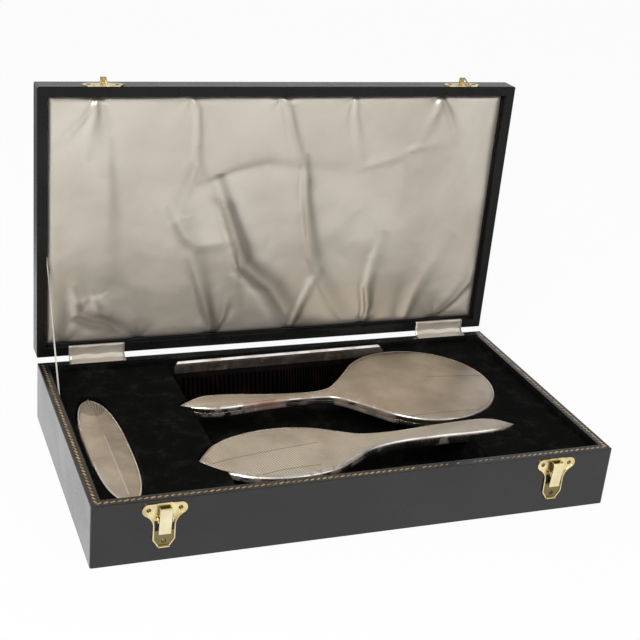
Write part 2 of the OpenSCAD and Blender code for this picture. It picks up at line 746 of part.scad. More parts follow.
module satin_lining() {
    back = lid_ceiling - card_t;
    edge = lid_rim + satin_edge;
    rise = satin_edge - satin_crown;
    nx = satin_cells_x;
    ny = satin_cells_y;
    function sx(i) = card_w/2*sin(90*(2*i/nx - 1))*0.3 + card_w/2*(2*i/nx - 1)*0.7;
    function sy(j) = card_d/2*sin(90*(2*j/ny - 1))*0.3 + card_d/2*(2*j/ny - 1)*0.7;
    function id(i, j) = i*(ny + 1) + j;
    count = (nx + 1)*(ny + 1);
    // The rim of the back, drawn in a little all round
    ring = concat([for (i = [0 : nx - 1]) [i, 0]], [for (j = [0 : ny - 1]) [nx, j]],
                  [for (i = [nx : -1 : 1]) [i, ny]], [for (j = [ny : -1 : 1]) [0, j]]);
    m = len(ring);
    points = concat(
        [for (i = [0 : nx], j = [0 : ny])
            [sx(i), sy(j), edge - rise*satin_height(sx(i), sy(j))]],
        [for (r = ring) [sx(r[0])*0.985, sy(r[1])*0.985, back]],
        [[0, 0, back]]);
    faces = concat(
        [for (i = [0 : nx - 1], j = [0 : ny - 1])
            each [[id(i, j), id(i + 1, j), id(i + 1, j + 1)],
                  [id(i, j), id(i + 1, j + 1), id(i, j + 1)]]],
        [for (k = [0 : m - 1])
            let (q = (k + 1) % m, a = id(ring[k][0], ring[k][1]),
                 b = id(ring[q][0], ring[q][1]))
            each [[a, count + k, count + q], [a, count + q, b],
                  [count + k, count + m, count + q]]]);
    color(SATIN) open_lid() polyhedron(points, faces);
}

// Hinges

knuckles = 5;
knuckle_l = hinge_l/knuckles;
knuckle_gap = 0.15;

// One leaf with its own knuckles: z0 is the leaf's lower face, parity picks the knuckles
module hinge_leaf(x, z0, parity) {
    difference() {
        union() {
            leaf_pocket_solid(x, z0);
            for (k = [parity : 2 : knuckles - 1])
                translate([x - hinge_l/2 + k*knuckle_l + knuckle_gap, 0, 0]) {
                    translate([0, back_y - eps, z0])
                        cube([knuckle_l - 2*knuckle_gap, pin_back, leaf_t]);
                    translate([0, pin_y, pin_z]) rotate([0, 90, 0])
                        cylinder(r = knuckle_r, h = knuckle_l - 2*knuckle_gap);
                }
        }
        translate([x - hinge_l, pin_y, pin_z]) rotate([0, 90, 0])
            cylinder(r = hinge_pin_r + pin_clearance, h = 2*hinge_l);
        hinge_screw_places() screw_hole();
        mirror_lid() hinge_screw_places() screw_hole();
    }
}

module leaf_pocket_solid(x, z0) {
    translate([x - hinge_l/2, back_y - leaf_w, z0]) cube([hinge_l, leaf_w, leaf_t]);
}

module hinge_pin(x) {
    translate([x - hinge_l/2 - 0.6, pin_y, pin_z]) rotate([0, 90, 0])
        cylinder(r = hinge_pin_r, h = hinge_l + 1.2);
}

screw_r = 1;
screw_head_r = 1.7;
screw_l = 7;

// Screw places on the base rim, with Z down the screw
module hinge_screw_places() {
    for (x = [hinge_left_x, hinge_right_x], s = [-1, 1])
        translate([x + s*hinge_l*0.3, back_y - leaf_w*0.5, base_h]) mirror([0, 0, 1])
            children();
}

// The same places on the lid's rim
module mirror_lid() {
    translate([0, 0, 2*base_h + lid_gap]) mirror([0, 0, 1]) children();
}

module screw_hole() {
    translate([0, 0, -1]) cylinder(r = screw_r, h = screw_l + 1);
    translate([0, 0, -1]) cylinder(r = screw_head_r, h = 1 + 0.6*leaf_t);
}

module screw() {
    cylinder(r = screw_r, h = screw_l);
    cylinder(r = screw_head_r, h = 0.6*leaf_t);
}

// Satin tabs: a strip over the lid rim, round the hinge and on to the base rim

module hinge_tab(x) {
    lid_front = pin_y + lid_rim - pin_z;
    top = pin_z + pin_back + wall_t;
    y0 = lid_front - tab_t;
    color(SATIN) translate([x - tab_w/2, 0, 0]) rotate([90, 0, 90]) linear_extrude(tab_w)
        polygon([[y0, top + tab_t], [lid_front + 4, top + tab_t], [lid_front + 4, top],
                 [lid_front, top], [lid_front, pin_z + 3.3], [lid_front - 1.9, pin_z + 2.1],
                 [pin_y - 3.0, pin_z + 0.6], [pin_y - 3.6, base_h + 0.3 + tab_t/2],
                 [back_y - 4.4, base_h + 0.3], [back_y - 4.4, base_h + 0.3 + tab_t],
                 [pin_y - 3.9, base_h + 0.35 + tab_t*1.6], [pin_y - 3.5, pin_z + 1.2],
                 [lid_front - 2.3, pin_z + 2.6], [y0, pin_z + 3.8]]);
}

// Ribbon stay, flat against the left walls

module ribbon_stay() {
    low = [ribbon_low_y, base_h - 2];
    high = [pin_y + 3.7, pin_z + ribbon_lid];
    way = (high - low)/norm(high - low);
    side = [way[1], -way[0]]*ribbon_w/2;
    tuck = [low[0] - 3, low[1] - turn_in + 4];
    color(SATIN) translate([ribbon_x, 0, 0]) rotate([90, 0, 90]) linear_extrude(ribbon_t)
        polygon([low + side, high + side, high + 0.6*side + [3.5, 6], high - 0.4*side + [2, 7],
                 high - side, low - side, tuck - 0.8*side, tuck + 0.8*side]);
}

// Latches, drawn on the front wall: X along it, Y up, Z out

flare_r = (pow(plate_w/2 - ear_spacing/2, 2) + pow(ear_h - 29, 2) - ear_r*ear_r)
          / (2*(ear_r + ear_spacing/2 - plate_w/2));
flare = [plate_w/2 + flare_r, 29];
flare_way = ([ear_spacing/2, ear_h] - flare)/norm([ear_spacing/2, ear_h] - flare);

// The plate's outline, drawn in by g
module plate_outline(g) {
    foot_w = 8.6;
    for (s = [-1, 1]) mirror([s < 0 ? 1 : 0, 0]) {
        translate([ear_spacing/2, ear_h]) circle(ear_r - g);
        difference() {
            polygon([[0, 29], flare, flare + (flare_r + g)*flare_way,
                     [ear_spacing/2, ear_h], [ear_spacing/2, ear_h + ear_r - g],
                     [0, ear_h + ear_r - g]]);
            translate(flare) circle(flare_r + g);
        }
        polygon([[0, plate_low + g], [foot_w/2 - 0.54*g, plate_low + g],
                 [plate_w/2 - g, plate_low + 6 + 0.3*g], [plate_w/2 - g, 29], [0, 29]]);
    }
}

lug_x = lever_w/2 + 0.35;
lug_t = 0.8;
window_w = 2.3;
foot_hole_h = plate_low + 4.7;

module latch_plate() {
    difference() {
        union() {
            linear_extrude(sheet_t) plate_outline(0);
            difference() {
                linear_extrude(sheet_t + rolled_edge) plate_outline(0);
                translate([0, 0, -1]) linear_extrude(5) plate_outline(0.9);
                translate([-lever_w/2 - 1, ear_h, -1]) cube([lever_w + 2, 10, 5]);
            }
            translate([-4, plate_low, 0]) cube([8, 0.8, sheet_t + 1.7]);
            for (s = [-1, 1]) translate([s > 0 ? lug_x : -lug_x - lug_t, pivot_h - 2, 0])
                cube([lug_t, 4, pivot_out + 1.9]);
        }
        for (s = [-1, 1]) translate([s > 0 ? lug_x : -lug_x - window_w, 25.5, -1])
            cube([window_w, pivot_h - 2 - 25.5, 5]);
        translate([0, pivot_h, pivot_out]) rotate([0, 90, 0])
            cylinder(r = lever_pin_r + 0.02, h = 30, center = true);
        for (p = brad_spots) translate([p[0], p[1], -1]) cylinder(r = brad_r, h = 5);
        for (p = brad_spots) translate([p[0], p[1], sheet_t - 0.3])
            cylinder(r = brad_head_r + 0.2, h = 5);
    }
}

brad_spots = [[-ear_spacing/2, ear_h], [ear_spacing/2, ear_h], [0, foot_hole_h]];
keeper_z = lid_rim + 0.7 + keeper_h/2;
keeper_spots = [[-11.5, keeper_z], [11.5, keeper_z]];

module latch_brad_places() {
    for (x = [latch_left_x, latch_right_x], p = brad_spots)
        on_front() translate([x + p[0], p[1], 0]) children();
}

module keeper_brad_places() {
    for (x = [latch_left_x, latch_right_x], p = keeper_spots)
        on_front() translate([x + p[0], p[1], 0]) children();
}

module brad_hole() {
    translate([0, 0, -brad_l]) cylinder(r = brad_r, h = brad_l + 1);
}

module brad() {
    translate([0, 0, -brad_l]) cylinder(r = brad_r, h = brad_l + sheet_t);
    translate([0, 0, sheet_t - 0.3]) cylinder(r1 = brad_head_r, r2 = brad_head_r - 0.5, h = 0.5);
}

// Side view of the lever: X is up the wall, Y is out from it
lever_back = sheet_t + rolled_edge + 0.25;
module lever_side() {
    polygon([[lever_low + 1, lever_foot_out - 1.2], [lever_low, lever_foot_out - 0.8],
             [lever_low - 0.4, lever_foot_out + 0.3], [lever_low + 1.4, lever_foot_out],
             [lever_high - 3, lever_out], [lever_high, lever_out - 0.2],
             [lever_high + 1.2, lever_out - 0.9], [lever_high + 1.2, lever_back],
             [pivot_h + 2, lever_back], [pivot_h - 3, lever_back + 0.1]]);
}

// The room inside the channel
module lever_inside() {
    t = 0.7;
    polygon([[lever_low - 2, lever_foot_out - 0.7], [lever_low + 1.4, lever_foot_out - t],
             [lever_high - 3, lever_out - t], [lever_high - 0.1, lever_out - 0.2 - t],
             [lever_high - 0.1, lever_out - 1.9], [lever_high + 0.7, lever_out - 1.9],
             [lever_high + 0.7, lever_out + 1], [lever_high + 3, lever_out + 1],
             [lever_high + 3, 0], [lever_low - 2, 0]]);
}

module along_x(l) {
    rotate([90, 0, 90]) translate([0, 0, -l/2]) linear_extrude(l) children();
}

module latch_lever() {
    difference() {
        along_x(lever_w) lever_side();
        along_x(lever_w - 1.4) lever_inside();
        translate([0, pivot_h, pivot_out]) rotate([0, 90, 0])
            cylinder(r = lever_pin_r + pin_clearance, h = lever_w + 2, center = true);
    }
}

module lever_pin() {
    l = 2*(lug_x + lug_t);
    translate([0, pivot_h, pivot_out]) rotate([0, 90, 0]) {
        cylinder(r = lever_pin_r, h = l, center = true);
        for (s = [-1, 1]) translate([0, 0, s*(l/2 + 0.45)])
            cylinder(r = lever_pin_r + 0.4, h = 0.9, center = true);
    }
}

// Spring: a close coil round the pin. One leg lies down the plate, the other behind the
// lever's lower end, which it pushes out.
wire_r = 0.2;
coil_r = lever_pin_r + 0.2 + wire_r;
coil_turns = 5;
coil_w = 5;
coil_sides = 12;

function tube_ring(c, u, v, r, sides) =
    [for (k = [0 : sides - 1]) c + r*(cos(360*k/sides)*u + sin(360*k/sides)*v)];

module wire(path, r, sides) {
    n = len(path);
    ways = [for (i = [0 : n - 1])
        let (a = path[max(i - 1, 0)], b = path[min(i + 1, n - 1)]) (b - a)/norm(b - a)];
    rings = [for (i = [0 : n - 1])
        let (u0 = cross(ways[i], [1, 0.02, 0.01]), u = u0/norm(u0), v = cross(ways[i], u))
        each tube_ring(path[i], u, v, r, sides)];
    faces = concat(
        [for (i = [0 : n - 2], k = [0 : sides - 1])
            let (q = (k + 1) % sides)
            each [[i*sides + k, i*sides + q, (i + 1)*sides + q],
                  [i*sides + k, (i + 1)*sides + q, (i + 1)*sides + k]]],
        [for (k = [1 : sides - 2]) [0, k + 1, k]],
        [for (k = [1 : sides - 2]) [(n - 1)*sides, (n - 1)*sides + k, (n - 1)*sides + k + 1]]);
    polyhedron(rings, faces);
}

// The coil's points, from the plate's side of the pin to the lever's side
coil_steps = coil_sides*(coil_turns + 0.5);
coil = [for (k = [0 : coil_steps])
    let (a = 360*k/coil_sides - 90)
    [coil_w*(k/coil_steps - 0.5), pivot_h + coil_r*cos(a), pivot_out + coil_r*sin(a)]];
coil_gap = min([for (i = [0 : coil_steps - coil_sides + 2], j = [i + coil_sides - 2 : coil_steps])
    norm(coil[i] - coil[j])]) - 2*wire_r;
echo(least_gap_of_the_spring_to_itself = coil_gap);

module lever_spring() {
    wire(concat([coil[0] + [0, -4, -0.3]], coil, [coil[coil_steps] + [0, -4.5, -0.95]]),
         wire_r, 6);
}

// Keeper, drawn closed on the same frame

module keeper_outline() {
    difference() {
        polygon([[-keeper_w/2, keeper_z - 1], [-keeper_w/2 + 3.4, keeper_z - keeper_h/2],
                 [keeper_w/2 - 3.4, keeper_z - keeper_h/2], [keeper_w/2, keeper_z - 1],
                 [keeper_w/2, keeper_z + 1.6], [keeper_w/2 - 4, keeper_z + keeper_h/2],
                 [-keeper_w/2 + 4, keeper_z + keeper_h/2], [-keeper_w/2, keeper_z + 1.6]]);
        for (p = keeper_spots) translate(p) circle(brad_r);
    }
}

tongue_low = lever_high - 1.5;
hook_out = 6.8;

// The hook stands out from the plate and slopes down behind the lever's lip
module keeper() {
    difference() {
        union() {
            linear_extrude(sheet_t) keeper_outline();
            along_x(tongue_w) polygon([
                [keeper_z + 2.2, sheet_t - eps], [keeper_z + 1.4, hook_out - 1],
                [keeper_z + 0.6, hook_out], [keeper_z - 0.6, hook_out],
                [lever_high + 1.5, 3], [tongue_low + 0.9, 2.9], [tongue_low + 0.9, 3.8],
                [tongue_low, 3.8], [tongue_low, 2.2], [lever_high + 1.5, 2.3],
                [keeper_z - 0.9, hook_out - 0.8], [keeper_z + 0.2, hook_out - 0.8],
                [keeper_z + 1, sheet_t - eps]]);
        }
        for (p = keeper_spots) translate([p[0], p[1], sheet_t - 0.3])
            cylinder(r = brad_head_r + 0.2, h = 5);
        translate([-tongue_w/2 + 1.3, lever_high + 2.2, 1])
            cube([tongue_w - 2.6, keeper_z - 1 - lever_high - 2.2, hook_out]);
    }
}

// Every node

base_carcass();
base_covering();
base_underside_sheet();
base_liner();
tray_block(-tray_w/2, well_left);  // tray_left_block
tray_block(well_right, tray_w/2);  // tray_right_block
tray_well_floor();
lid_carcass();
lid_covering();
lining_card();
satin_lining();
color(BRASS) hinge_leaf(hinge_left_x, base_h - leaf_t, 0);  // hinge_base_leaf_left
color(BRASS) hinge_leaf(hinge_right_x, base_h - leaf_t, 0);  // hinge_base_leaf_right
color(BRASS) open_lid() hinge_leaf(hinge_left_x, lid_rim, 1);  // hinge_lid_leaf_left
color(BRASS) open_lid() hinge_leaf(hinge_right_x, lid_rim, 1);  // hinge_lid_leaf_right
color(BRASS) hinge_pin(hinge_left_x);  // hinge_pin_left
color(BRASS) hinge_pin(hinge_right_x);  // hinge_pin_right
color(BRASS) hinge_screw_places() screw();  // base_hinge_screws
color(BRASS) open_lid() mirror_lid() hinge_screw_places() screw();  // lid_hinge_screws
hinge_tab(hinge_left_x);  // hinge_tab_left
hinge_tab(hinge_right_x);  // hinge_tab_right
ribbon_stay();
color(BRASS) on_front() translate([latch_left_x, 0, 0]) latch_plate();  // latch_plate_left
color(BRASS) on_front() translate([latch_right_x, 0, 0]) latch_plate();  // latch_plate_right
color(BRASS) on_front() translate([latch_left_x, 0, 0]) latch_lever();  // latch_lever_left
color(BRASS) on_front() translate([latch_right_x, 0, 0]) latch_lever();  // latch_lever_right
color(BRASS) on_front() translate([latch_left_x, 0, 0]) lever_pin();  // lever_pin_left
color(BRASS) on_front() translate([latch_right_x, 0, 0]) lever_pin();  // lever_pin_right
color("silver") on_front() translate([latch_left_x, 0, 0]) lever_spring();  // lever_spring_left
color("silver") on_front() translate([latch_right_x, 0, 0]) lever_spring();  // lever_spring_right
color(BRASS) latch_brad_places() brad();  // latch_brads
color(BRASS) open_lid() on_front() translate([latch_left_x, 0, 0]) keeper();  // keeper_left
color(BRASS) open_lid() on_front() translate([latch_right_x, 0, 0]) keeper();  // keeper_right
color(BRASS) open_lid() keeper_brad_places() brad();  // keeper_brads
mirror_back();
mirror_front_frame();
mirror_glass();
mirror_packing();
hairbrush_back();
hairbrush_pad();
hairbrush_bristles();
clothes_brush_back();
clothes_brush_pad();
clothes_brush_bristles();
comb_mount();
comb_teeth();
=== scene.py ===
import bpy, bmesh, json, math, random
import numpy as np
from mathutils import Matrix, Vector, noise


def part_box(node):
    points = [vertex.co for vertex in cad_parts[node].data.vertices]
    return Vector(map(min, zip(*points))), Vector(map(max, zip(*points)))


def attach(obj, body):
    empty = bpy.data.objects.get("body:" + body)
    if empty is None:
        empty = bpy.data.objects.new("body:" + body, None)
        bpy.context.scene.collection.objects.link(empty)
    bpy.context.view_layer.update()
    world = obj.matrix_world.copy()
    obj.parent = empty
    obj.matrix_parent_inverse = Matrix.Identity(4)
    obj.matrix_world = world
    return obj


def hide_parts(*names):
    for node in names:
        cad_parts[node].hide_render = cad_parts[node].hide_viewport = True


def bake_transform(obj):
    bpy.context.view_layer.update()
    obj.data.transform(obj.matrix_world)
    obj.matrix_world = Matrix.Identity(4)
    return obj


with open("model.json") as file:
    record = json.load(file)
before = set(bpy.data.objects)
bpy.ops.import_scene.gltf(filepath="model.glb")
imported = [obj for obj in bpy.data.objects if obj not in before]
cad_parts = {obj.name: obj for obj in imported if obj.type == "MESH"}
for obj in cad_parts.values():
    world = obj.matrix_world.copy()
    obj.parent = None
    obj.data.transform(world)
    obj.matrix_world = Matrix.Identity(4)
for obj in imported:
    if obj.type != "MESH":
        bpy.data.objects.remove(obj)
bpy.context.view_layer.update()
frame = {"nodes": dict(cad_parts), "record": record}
scene = bpy.context.scene
MM = 0.001

# Camera at the photograph's viewing angle
yaw, pitch, roll = 0.3766, 0.4071, 0.0893
ahead = Vector((math.sin(yaw) * math.cos(pitch), math.cos(yaw) * math.cos(pitch), -math.sin(pitch)))
level = Vector((math.cos(yaw), -math.sin(yaw), 0))
above = level.cross(ahead)
right = level * math.cos(roll) + above * math.sin(roll)
up = above * math.cos(roll) - level * math.sin(roll)
bpy.ops.object.camera_add(location=(-0.3643, -0.8538, 0.5243))
camera = bpy.context.object
facing = Matrix((right, up, -ahead)).transposed().to_4x4()
camera.matrix_world = Matrix.Translation(camera.location) @ facing
camera.data.lens = 71.148
camera.data.sensor_width = 36
camera.data.shift_x = 0.04
camera.data.clip_start = 0.01
scene.camera = camera
scene.view_settings.view_transform = "Standard"

# Sizes read from the frame, in millimetres

def box_mm(node):
    """A node's lowest and highest corners at rest."""
    return [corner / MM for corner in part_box(node)]


case_low, case_high = box_mm("base_covering")
satin_low, satin_high = box_mm("satin_lining")
ribbon_low = box_mm("ribbon_stay")[0]


# Helpers for materials

def new_material(name, color, roughness, metallic=0.0):
    mat = bpy.data.materials.new(name)
    mat.use_nodes = True
    shader = mat.node_tree.nodes["Principled BSDF"]
    shader.inputs["Base Color"].default_value = (*color, 1)
    shader.inputs["Roughness"].default_value = roughness
    shader.inputs["Metallic"].default_value = metallic
    return mat, mat.node_tree, shader


def add(tree, kind, **values):
    """A node, with the value of each input or setting that is named."""
    node = tree.nodes.new(kind)
    for key, value in values.items():
        if key in node.inputs:
            node.inputs[key].default_value = value
        else:
            setattr(node, key, value)
    return node


def place(tree, scale=(1, 1, 1), turn=(0, 0, 0), origin=(0, 0, 0)):
    """Object coordinates from an origin, turned and scaled."""
    coords = add(tree, "ShaderNodeTexCoord")
    centred = add(tree, "ShaderNodeMapping", vector_type="TEXTURE", Location=origin, Rotation=turn)
    scaled = add(tree, "ShaderNodeMapping", Scale=scale)
    tree.links.new(coords.outputs["Object"], centred.inputs["Vector"])
    tree.links.new(centred.outputs["Vector"], scaled.inputs["Vector"])
    return scaled.outputs["Vector"]


def axes(tree, vector):
    """The X, Y and Z of a vector."""
    node = add(tree, "ShaderNodeSeparateXYZ")
    tree.links.new(vector, node.inputs[0])
    return node.outputs["X"], node.outputs["Y"], node.outputs["Z"]


def in_millimetres(tree, turn=0, origin=(0, 0, 0)):
    """Where a point lies in millimetres, seen from an origin and a turn."""
    return axes(tree, place(tree, scale=(1 / MM, 1 / MM, 1 / MM), turn=(0, 0, turn), origin=origin))


def cells(tree, scale):
    """Each cell's distance from its centre, and a chance number of its own."""
    node = add(tree, "ShaderNodeTexVoronoi", Scale=scale)
    tree.links.new(place(tree), node.inputs["Vector"])
    chance = add(tree, "ShaderNodeSeparateColor")
    tree.links.new(node.outputs["Color"], chance.inputs["Color"])
    return node.outputs["Distance"], chance.outputs["Red"]


def clouds(tree, scale, detail=5.0, roughness=0.5, stretch=(1, 1, 1)):
    node = add(tree, "ShaderNodeTexNoise", Scale=scale, Detail=detail, Roughness=roughness)
    tree.links.new(place(tree, scale=stretch), node.inputs["Vector"])
    return node.outputs["Fac"]


def calc(tree, operation, *values):
    node = add(tree, "ShaderNodeMath", operation=operation)
    for socket, value in zip(node.inputs, values):
        if isinstance(value, (int, float)):
            socket.default_value = value
        else:
            tree.links.new(value, socket)
    return node.outputs[0]


def between(tree, value, start, end, first=0.0, last=1.0, interpolation="LINEAR"):
    """Goes from first to last as value goes from start to end."""
    node = add(tree, "ShaderNodeMapRange", interpolation_type=interpolation)
    for key, number in (("From Min", start), ("From Max", end), ("To Min", first), ("To Max", last)):
        node.inputs[key].default_value = number
    tree.links.new(value, node.inputs["Value"])
    return node.outputs["Result"]


def ramp(tree, value, *stops):
    """A colour, or a grey, for each place between the stops."""
    node = add(tree, "ShaderNodeValToRGB")
    while len(node.color_ramp.elements) < len(stops):
        node.color_ramp.elements.new(0.5)
    for element, (at, color) in zip(node.color_ramp.elements, stops):
        element.position = at
        element.color = (color, color, color, 1) if isinstance(color, float) else (*color, 1)
    tree.links.new(value, node.inputs["Fac"])
    return node.outputs["Color"]


def blend_color(tree, share, first, second):
    node = add(tree, "ShaderNodeMix", data_type="RGBA")
    tree.links.new(share, node.inputs["Factor"])
    for socket, value in ((node.inputs["A"], first), (node.inputs["B"], second)):
        if isinstance(value, tuple):
            socket.default_value = (*value, 1)
        else:
            tree.links.new(value, socket)
    return node.outputs["Result"]


def paint(tree, shader, color, socket="Base Color"):
    tree.links.new(color, shader.inputs[socket])


def relief(tree, shader, height, strength, distance):
    bump = add(tree, "ShaderNodeBump", Strength=strength, Distance=distance)
    tree.links.new(height, bump.inputs["Height"])
    tree.links.new(bump.outputs["Normal"], shader.inputs["Normal"])


# Materials

def leatherette(name, gloss):
    """Grained black cloth with fine dark pits and a thin varnish."""
    pit_radius, pit_chance = 0.2, 0.66
    mat, tree, shader = new_material(name, (0.009, 0.0087, 0.0085), 0.26)
    shader.inputs["Specular IOR Level"].default_value = gloss
    shader.inputs["Coat Weight"].default_value = gloss
    shader.inputs["Coat Roughness"].default_value = 0.12
    patches = clouds(tree, 22.0, 6.0)
    distance, chance = cells(tree, 260.0)
    pits = calc(tree, "MULTIPLY", calc(tree, "LESS_THAN", distance, pit_radius),
                calc(tree, "GREATER_THAN", chance, pit_chance))
    color = ramp(tree, patches, (0.3, (0.006, 0.0058, 0.0056)), (0.7, (0.011, 0.0107, 0.0104)))
    paint(tree, shader, blend_color(tree, pits, color, (0.002, 0.002, 0.002)))
    paint(tree, shader, ramp(tree, patches, (0.3, 0.2), (0.75, 0.3)), "Roughness")
    grain = cells(tree, 1100.0)[0]
    height = calc(tree, "ADD", grain, calc(tree, "MULTIPLY", clouds(tree, 330.0, 2.0), 1.5))
    height = calc(tree, "SUBTRACT", height, calc(tree, "MULTIPLY", pits, 0.8))
    relief(tree, shader, height, 0.42, 0.0002)
    return mat


def velvet():
    """Black pile, greyer where it is rubbed, with a few specks of lint."""
    speck_radius, speck_chance = 0.035, 0.84
    mat, tree, shader = new_material("velvet", (0.003, 0.003, 0.003), 0.95)
    shader.inputs["Sheen Weight"].default_value = 0.02
    shader.inputs["Sheen Roughness"].default_value = 0.3
    shader.inputs["Specular IOR Level"].default_value = 0.04
    worn = ramp(tree, clouds(tree, 45.0, 8.0, 0.75), (0.3, (0.0018, 0.0018, 0.0017)),
                (0.52, (0.0035, 0.0035, 0.0033)), (0.7, (0.015, 0.015, 0.0142)))
    distance, chance = cells(tree, 38.0)
    specks = calc(tree, "MULTIPLY", calc(tree, "GREATER_THAN", chance, speck_chance),
                  calc(tree, "LESS_THAN", distance, speck_radius))
    paint(tree, shader, blend_color(tree, specks, worn, (0.1, 0.1, 0.095)))
    relief(tree, shader, clouds(tree, 900.0, 3.0), 0.6, 0.0004)
    return mat


def satin():
    """Old cream satin, darkened by the painted shade that the lining carries in its own attribute, beside
    its folds and towards its bottom.
    """
    painted_shade_strength = 0.8
    mat, tree, shader = new_material("satin", (0.62, 0.565, 0.49), 0.36, 0.6)
    shader.inputs["Sheen Weight"].default_value = 0.15
    shader.inputs["Sheen Roughness"].default_value = 0.4
    stains = clouds(tree, 11.0, 6.0)
    color = ramp(tree, stains, (0.3, (0.54, 0.485, 0.41)), (0.68, (0.65, 0.60, 0.525)))
    # Painted shade: the lining's attribute darkens the satin beside its folds and towards its bottom.
    painted_shade = add(tree, "ShaderNodeAttribute", attribute_name="painted_shade")
    painted_shade_amount = calc(tree, "MULTIPLY", painted_shade.outputs["Fac"], painted_shade_strength)
    paint(tree, shader, blend_color(tree, painted_shade_amount, color, (0.14, 0.12, 0.095)))
    paint(tree, shader, ramp(tree, stains, (0.3, 0.4), (0.7, 0.31)), "Roughness")
    relief(tree, shader, clouds(tree, 800.0, 2.0, stretch=(1, 1, 0.15)), 0.1, 0.0002)
    return mat


def ribbon_cloth():
    mat, tree, shader = new_material("ribbon_cloth", (0.72, 0.66, 0.56), 0.5)
    shader.inputs["Sheen Weight"].default_value = 0.2
    ribs = add(tree, "ShaderNodeTexWave", bands_direction="Z", Scale=400.0)
    tree.links.new(place(tree), ribs.inputs["Vector"])
    paint(tree, shader, ramp(tree, clouds(tree, 60.0), (0.3, (0.62, 0.55, 0.45)),
                             (0.7, (0.78, 0.73, 0.65))))
    relief(tree, shader, ribs.outputs["Fac"], 0.2, 0.0002)
    return mat


def metal(name, light, dark, low, high, spots=40.0, stain=None):
    """A metal with darker patches and, at the lowest parts of the noise, a stain."""
    mat, tree, shader = new_material(name, light, low, 1.0)
    patches = clouds(tree, spots, 7.0, 0.6)
    stops = [(0.36, dark), (0.58, light)]
    if stain:
        stops.insert(0, (0.3, stain))
        stops[1] = (0.43, dark)
    color = ramp(tree, patches, *stops)
    paint(tree, shader, color)
    paint(tree, shader, ramp(tree, patches, (0.3, high), (0.65, low)), "Roughness")
    return mat, tree, shader, color


def engraved_silver(name, light, dark, origin, turn, lines, fan=None, depth=0.24, ridge=None):
    """Engine-turned silver: wavy cuts, incised lines, a fan of flutes at one end, a painted highlight
    along a ridge.

    lines are pairs of (x, y) along the piece in millimetres. fan is the flutes' centre, the edge of
    the fan, its curve and 1 or -1 for the way it opens. ridge is where the painted highlight starts and
    ends.
    """
    line_half, highlight_half = 0.4, 0.55
    flute_count, flute_shade, line_shade = 90.0, 0.5, 0.55
    mat, tree, shader, color = metal(name, light, dark, 0.33, 0.44, 26.0)
    x, y, _ = in_millimetres(tree, turn, origin)
    sway = calc(tree, "SINE", calc(tree, "MULTIPLY", y, 0.9))
    phase = calc(tree, "ADD", calc(tree, "MULTIPLY", x, 2.75), calc(tree, "MULTIPLY", y, 1.2))
    cuts = calc(tree, "SINE", calc(tree, "MULTIPLY_ADD", sway, 0.9, phase))
    height = calc(tree, "MULTIPLY", cuts, 1.25 * depth)
    shade = calc(tree, "MULTIPLY_ADD", cuts, -depth, depth)
    for (x0, y0), (x1, y1) in lines:
        slope = (y1 - y0) / (x1 - x0)
        off = calc(tree, "SUBTRACT", y, calc(tree, "MULTIPLY_ADD", x, slope, y0 - slope * x0))
        line = calc(tree, "COMPARE", off, 0.0, line_half)
        inside = calc(tree, "MULTIPLY", calc(tree, "GREATER_THAN", x, x0), calc(tree, "LESS_THAN", x, x1))
        line = calc(tree, "MULTIPLY", line, inside)
        height = calc(tree, "SUBTRACT", height, line)
        shade = calc(tree, "MULTIPLY_ADD", line, line_shade, shade)
    if fan:
        centre, start, curve, way = fan
        angle = calc(tree, "ARCTAN2", y, calc(tree, "SUBTRACT", x, centre))
        flutes = calc(tree, "SINE", calc(tree, "MULTIPLY", angle, flute_count))
        reach = calc(tree, "MULTIPLY", calc(tree, "SUBTRACT", x, start), way)
        reach = calc(tree, "SUBTRACT", reach, calc(tree, "DIVIDE", calc(tree, "POWER", y, 2.0), curve))
        flutes = calc(tree, "MULTIPLY", flutes, calc(tree, "GREATER_THAN", reach, 0.0))
        height = calc(tree, "ADD", height, flutes)
        shade = calc(tree, "MULTIPLY_ADD", flutes, -flute_shade, shade)
    shade = calc(tree, "MINIMUM", calc(tree, "MAXIMUM", shade, 0.0), 1.0)
    color = blend_color(tree, shade, color, (0.2, 0.16, 0.12))
    # Painted highlight: a light line along the middle of the back, where a crest would catch the light.
    if ridge:
        start, end = ridge
        middle = calc(tree, "MULTIPLY", calc(tree, "LESS_THAN", calc(tree, "ABSOLUTE", y), highlight_half),
                      calc(tree, "COMPARE", x, (start + end) / 2, (end - start) / 2))
        color = blend_color(tree, calc(tree, "MULTIPLY", middle, 0.45), color, (0.95, 0.9, 0.82))
    paint(tree, shader, color)
    relief(tree, shader, height, 0.6, 0.0004)
    return mat


def tarnished_silver():
    """Polished rims and sides with pinkish brown tarnish that has lost its shine."""
    mat, tree, shader, color = metal("bright_silver", (0.86, 0.82, 0.75), (0.6, 0.53, 0.45),
                                     0.2, 0.36, 30.0)
    patches = clouds(tree, 24.0, 4.0, 0.6)
    tarnish = ramp(tree, patches, (0.34, (0.40, 0.25, 0.19)), (0.45, (0.55, 0.44, 0.36)),
                   (0.5, (1.0, 1.0, 1.0)))
    paint(tree, shader, blend_color(tree, calc(tree, "LESS_THAN", patches, 0.46), color, tarnish))
    paint(tree, shader, ramp(tree, patches, (0.4, 0.45), (0.5, 1.0)), "Metallic")
    return mat


